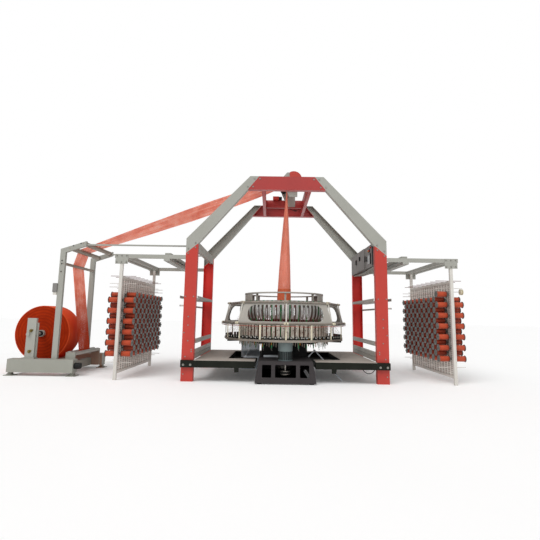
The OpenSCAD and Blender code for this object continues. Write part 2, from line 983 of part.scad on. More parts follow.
// Top ring on eight posts, with a curved cheek on each side
module top_ring() {
    low = reed_z + reed_h;
    under = top_ring_z - top_ring_t;
    in_r = top_ring_r - top_ring_w;
    post_r = top_ring_r - top_ring_w / 2;
    cheek_r = top_ring_r - cheek_inset;
    color("lightgray") {
        translate([0, 0, under]) difference() {
            cylinder(r = top_ring_r, h = top_ring_t);
            translate([0, 0, -overrun]) cylinder(r = in_r, h = top_ring_t + 2 * overrun);
        }
        around(rail_sides) box(
            [post_r - top_post_w / 2, -top_post_w / 2, low],
            [post_r + top_post_w / 2, top_post_w / 2, under + overrun]
        );
        both_sides() rotate([0, 0, -cheek_angle / 2]) rotate_extrude(angle = cheek_angle) polygon([
            [cheek_r - cheek_t, low], [cheek_r, low],
            [cheek_r, under + overrun], [cheek_r - cheek_t, under + overrun]
        ]);
    }
}

// Centres of the take-up rollers, with the fabric between them
nip_reach = nip_r + web_gap + web_t / 2;
nip_a = [nip_x - nip_reach, nip_z];
nip_b = [nip_x + nip_reach, nip_z];
takeup_plate_y = cross_beam_y - takeup_plate_t;

takeup_outline = [
    [nip_x + takeup_foot, nip_z - takeup_plate_drop],
    [nip_x + takeup_right, nip_z - takeup_plate_drop],
    [nip_x + takeup_right, nip_z + takeup_plate_rise - takeup_cut],
    [nip_x + takeup_top_out, nip_z + takeup_plate_rise],
    [nip_x - takeup_top_in, nip_z + takeup_plate_rise],
    [nip_x - takeup_left, nip_z + takeup_cut],
    [nip_x - takeup_left, nip_z - takeup_cut]
];

// Leaning side plates that carry the nip rollers, bolted to the cross beams
module takeup_plates() {
    bore_r = roller_shaft_r + shaft_fit;
    color("darkgray") both_faces() slab_y(takeup_plate_y, takeup_plate_y + takeup_plate_t) difference() {
        polygon(takeup_outline);
        translate(nip_a) circle(r = bore_r);
        translate(nip_b) circle(r = bore_r);
    }
}

// Red guard of the take-up gears, in front of the front plate
module takeup_cover() {
    c = [nip_x + cover_x, nip_z + takeup_plate_rise - cover_drop];
    y = -takeup_plate_y - takeup_plate_t;
    color("firebrick") slab_y(y - cover_t, y) polygon(concat(
        arc_points(c, cover_r, -10, 120, 2 * arc_steps),
        [[c[0] - cover_r / 2, c[1]], [c[0], c[1] - cover_r / 2]]
    ));
}

// Drive box and small motor on the back cross beam
module takeup_drive() {
    x = nip_x - takeup_left - move_gap - drive_motor_len - drive_box_w;
    y = cross_beam_y + (cross_beam_t - drive_box_d) / 2;
    z = beam_top_z - cross_beam_drop;
    color("firebrick") box([x, y, z], [x + drive_box_w, y + drive_box_d, z + drive_box_h]);
    color("black") translate([x + drive_box_w, y + drive_box_d / 2, z + drive_motor_r])
        rotate([0, 90, 0]) cylinder(r = drive_motor_r, h = drive_motor_len);
}

// Roller along Y with a shaft at each end; reach is half the distance between its carriers' outer faces
module roller(c, r, half_face, reach, shaft_r) {
    bar_y([c[0], 0, c[1]], r, 2 * half_face);
    bar_y([c[0], 0, c[1]], shaft_r, 2 * reach);
}

module nip_roller_a() {
    color("dimgray") roller(
        nip_a, nip_r, takeup_plate_y - roller_len_gap, takeup_plate_y + takeup_plate_t, roller_shaft_r
    );
}

module nip_roller_b() {
    color("dimgray") roller(
        nip_b, nip_r, takeup_plate_y - roller_len_gap, takeup_plate_y + takeup_plate_t, roller_shaft_r
    );
}

// Woven tube: round at the former, flat at the nip
module fabric_tube() {
    low = former_z + former_h + seat_gap;
    high = nip_z - tube_top_drop;
    points = [
        for (k = [0:tube_rings])
            let (
                t = k / tube_rings,
                ax = max(tube_r * (1 - pow(t, tube_flat_power)), web_t / 2),
                by = tube_r + (flat_w / 2 - tube_r) * t
            )
            for (i = [0:tube_sides - 1])
                let (a = i * 360 / tube_sides)
                [nip_x * t + ax * cos(a), by * sin(a), low + (high - low) * t]
    ];
    sides = [
        for (k = [0:tube_rings - 1])
            for (i = [0:tube_sides - 1])
                let (
                    a = k * tube_sides + i,
                    b = k * tube_sides + (i + 1) % tube_sides
                )
                [a, a + tube_sides, b + tube_sides, b]
    ];
    caps = [
        [for (i = [0:tube_sides - 1]) i],
        [for (i = [tube_sides - 1:-1:0]) tube_rings * tube_sides + i]
    ];
    color("tomato") polyhedron(points, concat(sides, caps), convexity = 4);
}

// Rollers that the web passes: centre, radius to the web's middle, and the turning sense
web_pad = web_gap + web_t / 2;
web_turns = [
    [nip_a, nip_r + web_pad, 1],
    [[-guide_a_x, guide_a_z], guide_a_r + web_pad, 1],
    [[-guide_b_x, guide_b_z], guide_b_r + web_pad, 1],
    [[-guide_c_x, guide_c_z], guide_c_r + web_pad, 1],
    [[-feed_x, feed_z], feed_r + web_pad, -1],
    [[-roll_x, roll_z], roll_r + web_pad, -1]
];

// Heading of the straight stretch from turn i to the next one
function web_heading(i) = let (
    a = web_turns[i],
    b = web_turns[i + 1],
    d = b[0] - a[0],
    swing = asin((a[1] * a[2] - b[1] * b[2]) / norm(d)),
    raw = atan2(d[1], d[0]) + swing
) raw < 0 ? raw + 360 : raw;

// Point of turn i where the web runs at a heading
function web_point(i, heading) =
    web_turns[i][0] + web_turns[i][1] * web_turns[i][2] * [sin(heading), -cos(heading)];

// Stations of the web: place in X and Z, heading and tilt
web_last = len(web_turns) - 1;
web_stations = concat(
    [[[nip_x, nip_z - tube_top_drop + seat_gap], 90, 0]],
    [
        for (i = [0:web_last - 1])
            let (
                into = i == 0 ? 90 : web_heading(i - 1),
                out = web_heading(i),
                steps = ceil(abs(out - into) / web_arc_step),
                from = web_point(i, out),
                to = web_point(i + 1, out)
            )
            each concat(
                [
                    for (k = [0:steps])
                        let (h = into + (out - into) * k / steps)
                        [web_point(i, h), h, 0]
                ],
                i > 0 ? [] : [
                    for (k = [1:span_steps - 1])
                        let (t = k / span_steps)
                        [from + (to - from) * t, out, web_tilt * sin(180 * pow(t, web_tilt_power))]
                ]
            )
    ],
    [[web_point(web_last, web_heading(web_last - 1)), web_heading(web_last - 1), 0]]
);

// Corners of the web at one station
function web_corners(s) = let (
    side = [sin(s[1]), -cos(s[1])] * web_t / 2,
    half = flat_w / 2 * cos(s[2]),
    lift = flat_w / 2 * sin(s[2])
) [
    [s[0][0] + side[0], -half, s[0][1] + side[1] + lift],
    [s[0][0] + side[0], half, s[0][1] + side[1] - lift],
    [s[0][0] - side[0], half, s[0][1] - side[1] - lift],
    [s[0][0] - side[0], -half, s[0][1] - side[1] + lift]
];

// Flat web from the nip over the winder's rollers to the roll
module fabric_web() {
    n = len(web_stations);
    points = [for (s = web_stations) each web_corners(s)];
    faces = concat(
        [[0, 1, 2, 3]],
        [
            for (k = [0:n - 2], i = [0:3])
                let (a = 4 * k + i, b = 4 * k + (i + 1) % 4)
                each i == 2
                    ? [[a, a + 4, b + 4], [a, b + 4, b]]
                    : [[a, a + 4, b], [b, a + 4, b + 4]]
        ],
        [[4 * n - 1, 4 * n - 2, 4 * n - 3, 4 * n - 4]]
    );
    color("tomato") polyhedron(points, faces, convexity = 8);
}

// Wound roll on a paper core
module fabric_roll() {
    color("orangered") difference() {
        bar_y([-roll_x, 0, roll_z], roll_r, flat_w);
        bar_y([-roll_x, 0, roll_z], core_r + seat_gap, flat_w + 2 * overrun);
    }
}

// Welded panel of each creel: two legs, two rails and a flat bar for each column, with wires on top
module creel_frames() {
    leg_y = gantry_d / 2 - creel_beam_w;
    bar_half = panel_bar_t / 2;
    color("gainsboro") both_sides() {
        both_faces() box(
            [creel_x - leg_w / 2, leg_y, 0],
            [creel_x + leg_w / 2, gantry_d / 2, creel_top_z - creel_beam_h]
        );
        for (z = [panel_bottom_z, panel_top_z]) box(
            [creel_x - panel_rail_w / 2, -leg_y - overrun, z],
            [creel_x + panel_rail_w / 2, leg_y + overrun, z + panel_rail_h]
        );
        for (j = [0:pack_cols - 1]) let (y = (j - (pack_cols - 1) / 2) * col_pitch) {
            box(
                [creel_x - bar_half, y - panel_bar_w / 2, panel_bottom_z + overrun],
                [creel_x + bar_half, y + panel_bar_w / 2, panel_top_z + overrun]
            );
            if (j % 2 == 0) translate([creel_x, y, panel_top_z + panel_rail_h + guide_wire_r + seat_gap])
                rotate([0, 90, 0]) cylinder(r = guide_wire_r, h = guide_wire_len, center = true);
            if (j % 3 == 0) for (z = bare_spindle_zs) translate([creel_x, y, z])
                rotate([0, 90, 0]) cylinder(r = bare_spindle_r, h = bare_spindle_len, center = true);
        }
    }
}

// Beams from the gantry to each creel, with bracket plates, cross beams and a comb board
module creel_beams() {
    low = creel_top_z - creel_beam_h;
    in_y = gantry_d / 2 - creel_beam_w;
    end_x = creel_x + creel_beam_over;
    tooth = 2 * in_y / comb_teeth;
    cross_a = creel_x - creel_cross_gap - creel_cross_w;
    cross_b = creel_x + creel_cross_gap;
    color("darkgray") both_sides() {
        both_faces() {
            box([half_w, in_y, low], [end_x, gantry_d / 2, creel_top_z]);
            box(
                [creel_x - bracket_w / 2, gantry_d / 2, creel_top_z - bracket_h],
                [creel_x + bracket_w / 2, gantry_d / 2 + bracket_t, creel_top_z]
            );
        }
        for (x = [cross_a, cross_b]) box(
            [x, -in_y + seat_gap, low],
            [x + creel_cross_w, in_y - seat_gap, creel_top_z]
        );
        box(
            [comb_x - comb_w / 2, -gantry_d / 2, low - comb_low_h],
            [comb_x + comb_w / 2, gantry_d / 2, low + overrun]
        );
        translate([comb_x - comb_w / 2, 0, creel_top_z - comb_t]) rotate([90, 0, 90])
            linear_extrude(comb_w) polygon(concat(
                [[in_y - seat_gap, 0], [in_y - seat_gap, comb_t]],
                [
                    for (i = [comb_teeth - 2:-1:1])
                        let (y = -in_y + tooth * i)
                        each [
                            [y + tooth * comb_tooth_share, comb_t],
                            [y + tooth * comb_tooth_share, comb_t + comb_tooth_h],
                            [y, comb_t + comb_tooth_h],
                            [y, comb_t]
                        ]
                ],
                [[-in_y + seat_gap, comb_t], [-in_y + seat_gap, 0]]
            ));
    }
}

// Copies of the children at every package of both creels, with X pointing out from the panel
module each_package() {
    both_sides() translate([creel_x, 0, 0])
        for (j = [0:pack_cols - 1], i = [0:pack_rows - 1])
            let (
                y = (j - (pack_cols - 1) / 2) * col_pitch,
                z = row_base_z + i * row_pitch + (j % 2) * row_pitch / 2
            )
            translate([0, y, z]) {
                children();
                mirror([1, 0, 0]) children();
            }
}

pack_start = panel_bar_t / 2 + pack_gap;

// Spindles with a flange disc at the free end of the package
module spindles() {
    near = panel_bar_t / 2;
    far = pack_start + pack_len + pack_fit;
    color("gray") each_package() rotate([0, 90, 0]) rotate_extrude() polygon([
        [0, near], [spindle_r, near], [spindle_r, far], [disc_r, far], [disc_r, far + disc_t],
        [spindle_r, far + disc_t], [spindle_r, far + disc_t + spindle_tip], [0, far + disc_t + spindle_tip]
    ]);
}

module yarn_packages() {
    color("orangered") each_package() translate([pack_start, 0, 0]) rotate([0, 90, 0])
        rotate_extrude() polygon([
            [spindle_r + pack_fit, 0], [pack_r, 0], [pack_r, pack_len], [spindle_r + pack_fit, pack_len]
        ]);
}

// Two long boxes with end beams, plates for the lower rollers and bolted feet
module winder_base() {
    top = winder_box_z + winder_box_h;
    box_in = winder_half - winder_box_w;
    press_c = press_centre();
    bore_r = roller_shaft_r + shaft_fit;
    color("darkgray") {
        both_faces() {
            box([-winder_far, box_in, winder_box_z], [-winder_near, winder_half, top]);
            slab_y(box_in - bracket_plate_t, box_in) difference() {
                polygon([
                    [-feed_x - feed_r, winder_box_z],
                    [press_c[0] + press_r, winder_box_z],
                    [press_c[0] + press_r, press_c[1] + bracket_plate_top],
                    [-feed_x - feed_r, feed_z + bracket_plate_top]
                ]);
                translate([-feed_x, feed_z]) circle(r = bore_r);
                translate(press_c) circle(r = bore_r);
            }
            for (x = [-winder_far + foot_inset, -winder_near - foot_inset])
                translate([x, winder_half - winder_box_w / 2, 0]) winder_foot();
        }
        for (x = [-winder_far, -winder_near - winder_beam_in - winder_beam_w]) box(
            [x, -box_in, winder_box_z],
            [x + winder_beam_w, box_in, winder_box_z + winder_beam_h]
        );
    }
}

// Foot plate with two bolt holes, and a riser under the box
module winder_foot() {
    difference() {
        box(
            [-foot_plate_w / 2, -foot_plate_w / 2, 0],
            [foot_plate_w / 2, foot_plate_w / 2, foot_plate_t]
        );
        for (x = [-foot_hole_out, foot_hole_out]) translate([x, 0, -overrun])
            cylinder(r = foot_hole_r, h = foot_plate_t + 2 * overrun);
    }
    box(
        [-foot_riser_w / 2, -foot_riser_w / 2, 0],
        [foot_riser_w / 2, foot_riser_w / 2, winder_box_z]
    );
}

// Axis of the press roller, level with the feed roller and beyond the web
function press_centre() = [-feed_x + feed_r + press_r + 2 * web_pad, feed_z];

arm_low_z = winder_post_z + winder_arm_rise - winder_arm_h / 2;

// Posts, rising arms and the tie bars to the gantry
module winder_frame() {
    x0 = -winder_post_x - winder_post_w / 2;
    x1 = x0 + winder_post_w;
    y0 = winder_post_y;
    y1 = winder_post_y + winder_post_t;
    base_z = winder_box_z + winder_box_h;
    arm_x = x1 + winder_arm_len;
    bore_r = roller_shaft_r + shaft_fit;
    bar_z = guide_a_z - tie_bar_drop;
    color("darkgray") both_faces() {
        slab_y(y0, y1) difference() {
            polygon([
                [x0, base_z], [x1, base_z], [x1, winder_post_z],
                [arm_x, arm_low_z], [arm_x, arm_low_z + winder_arm_h + tie_bar_w],
                [x0, winder_post_z + winder_arm_h]
            ]);
            translate([-guide_a_x, guide_a_z]) circle(r = bore_r);
            translate([-guide_b_x, guide_b_z]) circle(r = bore_r);
            translate([-guide_c_x, guide_c_z]) circle(r = bore_r);
        }
        box(
            [arm_x + seat_gap, y0, bar_z],
            [-post_in_x - tie_w, y0 + tie_bar_w, bar_z + tie_bar_w]
        );
    }
}

module roll_stands() {
    base_z = winder_box_z + winder_box_h;
    y0 = winder_half - (winder_box_w + stand_t) / 2;
    plate_x = -roll_x + stand_plate_x;
    color("gainsboro") both_faces() {
        slab_y(y0, y0 + stand_t) difference() {
            polygon([
                [-roll_x - stand_left, base_z], [-roll_x + stand_right, base_z],
                [-roll_x + stand_right, stand_top_z], [-roll_x - stand_left, stand_top_z]
            ]);
            translate([-roll_x, roll_z]) circle(r = winding_shaft_r + shaft_fit);
        }
        box(
            [plate_x, y0 - stand_plate_t, base_z],
            [plate_x + stand_plate_w, y0 + overrun, stand_top_z - stand_plate_drop]
        );
        box(
            [-roll_x - stand_left - stand_foot_out, y0 - stand_foot_out, base_z],
            [-roll_x + stand_right + stand_foot_out, y0 + stand_t + stand_foot_out, base_z + stand_foot_t]
        );
    }
}

module winder_roller(c, r) {
    color("silver") roller(
        c, r, winder_post_y - roller_len_gap, winder_post_y + winder_post_t, roller_shaft_r
    );
}

module winder_roller_a() {
    winder_roller([-guide_a_x, guide_a_z], guide_a_r);
}

module winder_roller_b() {
    winder_roller([-guide_b_x, guide_b_z], guide_b_r);
}

module winder_roller_c() {
    winder_roller([-guide_c_x, guide_c_z], guide_c_r);
}

module lower_roller(c, r) {
    box_in = winder_half - winder_box_w;
    color("silver") roller(
        c, r, box_in - bracket_plate_t - roller_len_gap, box_in - seat_gap, roller_shaft_r
    );
}

module feed_roller() {
    lower_roller([-feed_x, feed_z], feed_r);
}

module press_roller() {
    lower_roller(press_centre(), press_r);
}

// Shaft through the roll, with its white core
module winding_shaft() {
    reach = winder_half - (winder_box_w - stand_t) / 2 + core_out;
    color("whitesmoke") {
        bar_y([-roll_x, 0, roll_z], winding_shaft_r, 2 * reach);
        bar_y([-roll_x, 0, roll_z], core_r, flat_w + 2 * core_out);
    }
}

module winder_motor() {
    z = winder_box_z + winder_box_h / 2;
    color("black") translate([-winder_near, -winder_motor_y, z]) rotate([0, 90, 0])
        cylinder(r = winder_motor_r, h = winder_motor_len);
}

module winder_control_box() {
    x = -winder_post_x - winder_post_w / 2 - seat_gap;
    y = -winder_post_y - winder_post_t;
    color("gray") box(
        [x - switch_w, y - switch_out, switch_z],
        [x, y - switch_out + switch_d, switch_z + switch_h]
    );
}

cabinet_back_y = inner_y - cabinet_len * door_back_share;
cabinet_mid_y = cabinet_back_y - cabinet_len * door_mid_share;
cabinet_top = cabinet_z + cabinet_h;

// Long box between the right posts, with two door bays and a fixed control panel at the front
module control_cabinet() {
    x0 = post_in_x - cabinet_wall;
    color("gray") {
        difference() {
            box([x0, -inner_y, cabinet_z], [x0 + cabinet_d, inner_y, cabinet_top]);
            for (y = [[cabinet_back_y, inner_y], [cabinet_mid_y, cabinet_back_y]]) box(
                [x0 - overrun, y[0] + cabinet_wall, cabinet_z + cabinet_wall],
                [x0 + cabinet_d - cabinet_wall, y[1] - cabinet_wall, cabinet_top - cabinet_wall]
            );
            translate([x0 - overrun, button_y(), button_z()]) rotate([0, 90, 0])
                cylinder(r = button_stem_r + shaft_fit, h = button_out + button_travel + 2 * overrun);
        }
        box(
            [x0 - screen_t, screen_y(), cabinet_top - button_drop - screen_h],
            [x0, screen_y() + screen_w, cabinet_top - button_drop]
        );
    }
}

function screen_y() = (cabinet_mid_y - inner_y - screen_w) / 2;
function button_y() = screen_y() - button_drop;
function button_z() = cabinet_top - button_drop;

// Door over one bay, hinged at its back edge
module cabinet_door(y0, y1) {
    x = post_in_x - cabinet_wall - seat_gap;
    color("lightslategray") box(
        [x - door_t, y0 + door_gap, cabinet_z + door_gap],
        [x, y1 - door_gap, cabinet_top - door_gap]
    );
}

module cabinet_door_back() {
    cabinet_door(cabinet_back_y, inner_y);
}

module cabinet_door_mid() {
    cabinet_door(cabinet_mid_y, cabinet_back_y);
}

// Mushroom button that is pushed towards the panel
module stop_button() {
    x0 = post_in_x - cabinet_wall;
    color("red") translate([x0, button_y(), button_z()]) rotate([0, -90, 0]) rotate_extrude() polygon([
        [0, -button_out], [button_stem_r, -button_out], [button_stem_r, button_travel + move_gap],
        [button_r, button_travel + move_gap], [button_r, button_travel + button_out],
        [0, button_travel + button_out]
    ]);
}

front_posts();
back_posts();
front_arms();
back_arms();
top_beams();
takeup_rails();
knee_tie();
yarn_guides();
deck_plates();
deck_beams();
loom_base();
main_motor();
motor_pulley();
drive_belt();
centre_column();
fabric_former();
main_shaft();
shuttle_carrier();
shuttles();
bed_plate();
bed_columns();
ring_arms();
lower_warp_ring();
guide_blocks();
ring_posts();
guide_shelf();
guard_rails();
rail_struts();
guard_plates();
reed_ring();
heald_set_a();
heald_set_b();
top_ring();
takeup_plates();
takeup_cover();
takeup_drive();
nip_roller_a();
nip_roller_b();
fabric_tube();
fabric_web();
fabric_roll();
creel_frames();
creel_beams();
spindles();
yarn_packages();
winder_base();
winder_frame();
roll_stands();
winder_roller_a();
winder_roller_b();
winder_roller_c();
feed_roller();
press_roller();
winding_shaft();
winder_motor();
winder_control_box();
control_cabinet();
cabinet_door_back();
cabinet_door_mid();
stop_button();
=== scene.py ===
"""Looks of the mesh bag weaving machine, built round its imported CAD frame."""

from __future__ import annotations

import logging
import math
from dataclasses import dataclass
from enum import Enum
from typing import Callable, Iterable, Sequence

import bmesh
import bpy
from mathutils import Matrix, Vector, noise


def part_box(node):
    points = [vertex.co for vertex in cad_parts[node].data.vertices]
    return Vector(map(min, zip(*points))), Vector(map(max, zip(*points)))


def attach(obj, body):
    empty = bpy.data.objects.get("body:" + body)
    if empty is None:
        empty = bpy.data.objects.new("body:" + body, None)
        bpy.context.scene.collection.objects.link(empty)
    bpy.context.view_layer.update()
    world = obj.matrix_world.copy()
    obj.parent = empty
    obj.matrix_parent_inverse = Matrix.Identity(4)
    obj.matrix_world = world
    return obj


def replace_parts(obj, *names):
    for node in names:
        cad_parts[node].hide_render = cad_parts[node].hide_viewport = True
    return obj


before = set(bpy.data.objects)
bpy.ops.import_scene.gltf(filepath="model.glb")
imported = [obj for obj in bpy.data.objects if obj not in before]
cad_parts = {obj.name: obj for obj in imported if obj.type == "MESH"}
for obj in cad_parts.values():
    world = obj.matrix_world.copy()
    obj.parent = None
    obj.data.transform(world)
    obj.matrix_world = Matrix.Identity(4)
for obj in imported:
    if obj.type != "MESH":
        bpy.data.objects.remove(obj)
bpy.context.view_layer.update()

LOG = logging.getLogger("mesh_bag_loom")
Point = Sequence[float]
Spot = tuple[float, float]
Triple = tuple[float, float, float]
Color = tuple[float, float, float, float]
# A slab is two corners and an edge radius. A bar is two ends, a radius and a number of flat sides.
# A hoop is its inner and outer radius, its lower and its upper edge.
Slab = tuple[Triple, Triple, float]
Bar = tuple[Triple, Triple, float, int]
Hoop = tuple[float, float, float, float]
Node = bpy.types.Node
Tree = bpy.types.NodeTree
Socket = bpy.types.NodeSocket
Sockets = dict[str, Socket]

FRAME_BODY = "frame"
TURN = 2 * math.pi
SIDES = (-1, 1)
LATHE_MERGE = 1e-6
SEAM_MERGE = 1e-5
CAD_DIGITS = 5


class Axis(Enum):
    """Axes of the shared frame."""

    X = 0
    Y = 1
    Z = 2


def cad_end(node: str, axis: Axis, high: bool = True) -> float:
    """Gives the high or low end of a CAD node's box along an axis, to a hundredth of a millimetre."""
    return round(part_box(node)[int(high)][axis.value], CAD_DIGITS)


ROLL_AXIS: Triple = tuple(round((a + b) / 2, CAD_DIGITS) for a, b in zip(*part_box("fabric_roll")))
FORMER_R = cad_end("fabric_former", Axis.X)


class Kind(Enum):
    """Ways in which a surface is finished."""

    PAINT = "paint"
    STEEL = "steel"
    PLASTIC = "plastic"
    RUBBER = "rubber"
    NET = "net"
    YARN = "yarn"
    ROLL = "roll"
    PUNCHED = "punched"
    FLOOR = "floor"


def linear(code: str) -> Color:
    """Turns a colour code into linear light.

    Args:
        code: Six hexadecimal digits, as a paint chart gives them.

    Returns:
        Red, green, blue and an opaque alpha.
    """
    parts = [int(code[i : i + 2], 16) / 255 for i in (0, 2, 4)]
    light = [c / 12.92 if c <= 0.04045 else ((c + 0.055) / 1.055) ** 2.4 for c in parts]
    return (light[0], light[1], light[2], 1.0)


class Bench:
    """Short words for making and joining the nodes of one tree."""

    def __init__(self, tree: Tree) -> None:
        """Takes the tree that the nodes go into."""
        self.tree = tree

    def node(self, kind: str, **settings: object) -> Node:
        """Adds a node.

        Args:
            kind: The node's type name, without the ShaderNode that it starts with.
            settings: Properties of the node.

        Returns:
            The new node.
        """
        name = kind if kind.startswith("Node") else "ShaderNode" + kind
        made = self.tree.nodes.new(name)
        for key, value in settings.items():
            setattr(made, key, value)
        return made

    def put(self, target: Socket, source: object) -> None:
        """Links a socket to another one, or sets its value.

        Args:
            target: The socket that takes it.
            source: Another socket, or a plain value.
        """
        if isinstance(source, Socket):
            self.tree.links.new(source, target)
        else:
            target.default_value = source

    def effect(self, tree: Tree, vector: Socket, **values: object) -> Node:
        """Places a shared effect.

        Args:
            tree: The effect's group.
            vector: Where it is read.
            values: Its other inputs.

        Returns:
            The group's node.
        """
        made = self.node("Group", node_tree=tree)
        self.put(made.inputs["Vector"], vector)
        for key, value in values.items():
            self.put(made.inputs[key], value)
        return made

    def split(self, vector: Socket) -> tuple[Socket, Socket, Socket]:
        """Takes a vector apart.

        Args:
            vector: The vector's socket.

        Returns:
            Sockets of its three parts.
        """
        made = self.node("SeparateXYZ")
        self.put(made.inputs[0], vector)
        return tuple(made.outputs)

    def math(self, job: str, a: object, b: object = 0.0, c: object = 0.0) -> Socket:
        """Adds a sum of up to three numbers or sockets.

        Args:
            job: The sum's name.
            a: First number or socket.
            b: Second number or socket.
            c: Third number or socket.

        Returns:
            The result's socket.
        """
        made = self.node("Math", operation=job)
        for socket, source in zip(made.inputs, (a, b, c)):
            self.put(socket, source)
        return made.outputs[0]

    def times(self, *factors: object) -> Socket:
        """Multiplies two or more numbers or sockets.

        Args:
            factors: What is multiplied.

        Returns:
            The product's socket.
        """
        product = factors[0]
        for factor in factors[1:]:
            product = self.math("MULTIPLY", product, factor)
        return product

    def spread(self, value: object, low: object, high: object, first: float, last: float) -> Socket:
        """Stretches a value from one range to another, held at the ends.

        Args:
            value: The socket to stretch.
            low: Start of its own range.
            high: End of its own range.
            first: What the start becomes.
            last: What the end becomes.

        Returns:
            The stretched value's socket.
        """
        made = self.node("MapRange")
        for socket, source in zip(made.inputs, (value, low, high, first, last)):
            self.put(socket, source)
        return made.outputs[0]

    def mix(self, share: object, a: object, b: object) -> Socket:
        """Mixes two colours.

        Args:
            share: How much of the second colour shows.
            a: First colour.
            b: Second colour.

        Returns:
            The mixed colour's socket.
        """
        made = self.node("Mix", data_type="RGBA")
        self.put(made.inputs[0], share)
        self.put(made.inputs[6], a)
        self.put(made.inputs[7], b)
        return made.outputs[2]

    def cloud(self, vector: object, scale: object, detail: float = 4.0) -> Socket:
        """Adds a cloudy noise.

        Args:
            vector: Where it is read.
            scale: How fine it is.
            detail: How many finer layers it has.

        Returns:
            The noise's value socket.
        """
        made = self.node("TexNoise")
        self.put(made.inputs["Vector"], vector)
        self.put(made.inputs["Scale"], scale)
        made.inputs["Detail"].default_value = detail
        return made.outputs[0]

    def stretched(self, vector: Socket, scale: Triple) -> Socket:
        """Gives a vector that is scaled along each axis.

        Args:
            vector: The vector's socket.
            scale: Its three scales.

        Returns:
            The scaled vector's socket.
        """
        made = self.node("Mapping")
        self.put(made.inputs["Vector"], vector)
        made.inputs["Scale"].default_value = scale
        return made.outputs[0]

    def wave(self, vector: Socket, scale: Socket, values: dict[str, float], **settings: str) -> Socket:
        """Adds a wavy pattern of lines.

        Args:
            vector: Where it is read.
            scale: How fine it is.
            values: Its plain inputs.
            settings: Properties of the node.

        Returns:
            The pattern's value socket.
        """
        made = self.node("TexWave", **settings)
        self.put(made.inputs["Vector"], vector)
        self.put(made.inputs["Scale"], scale)
        for key, value in values.items():
            made.inputs[key].default_value = value
        return made.outputs[1]


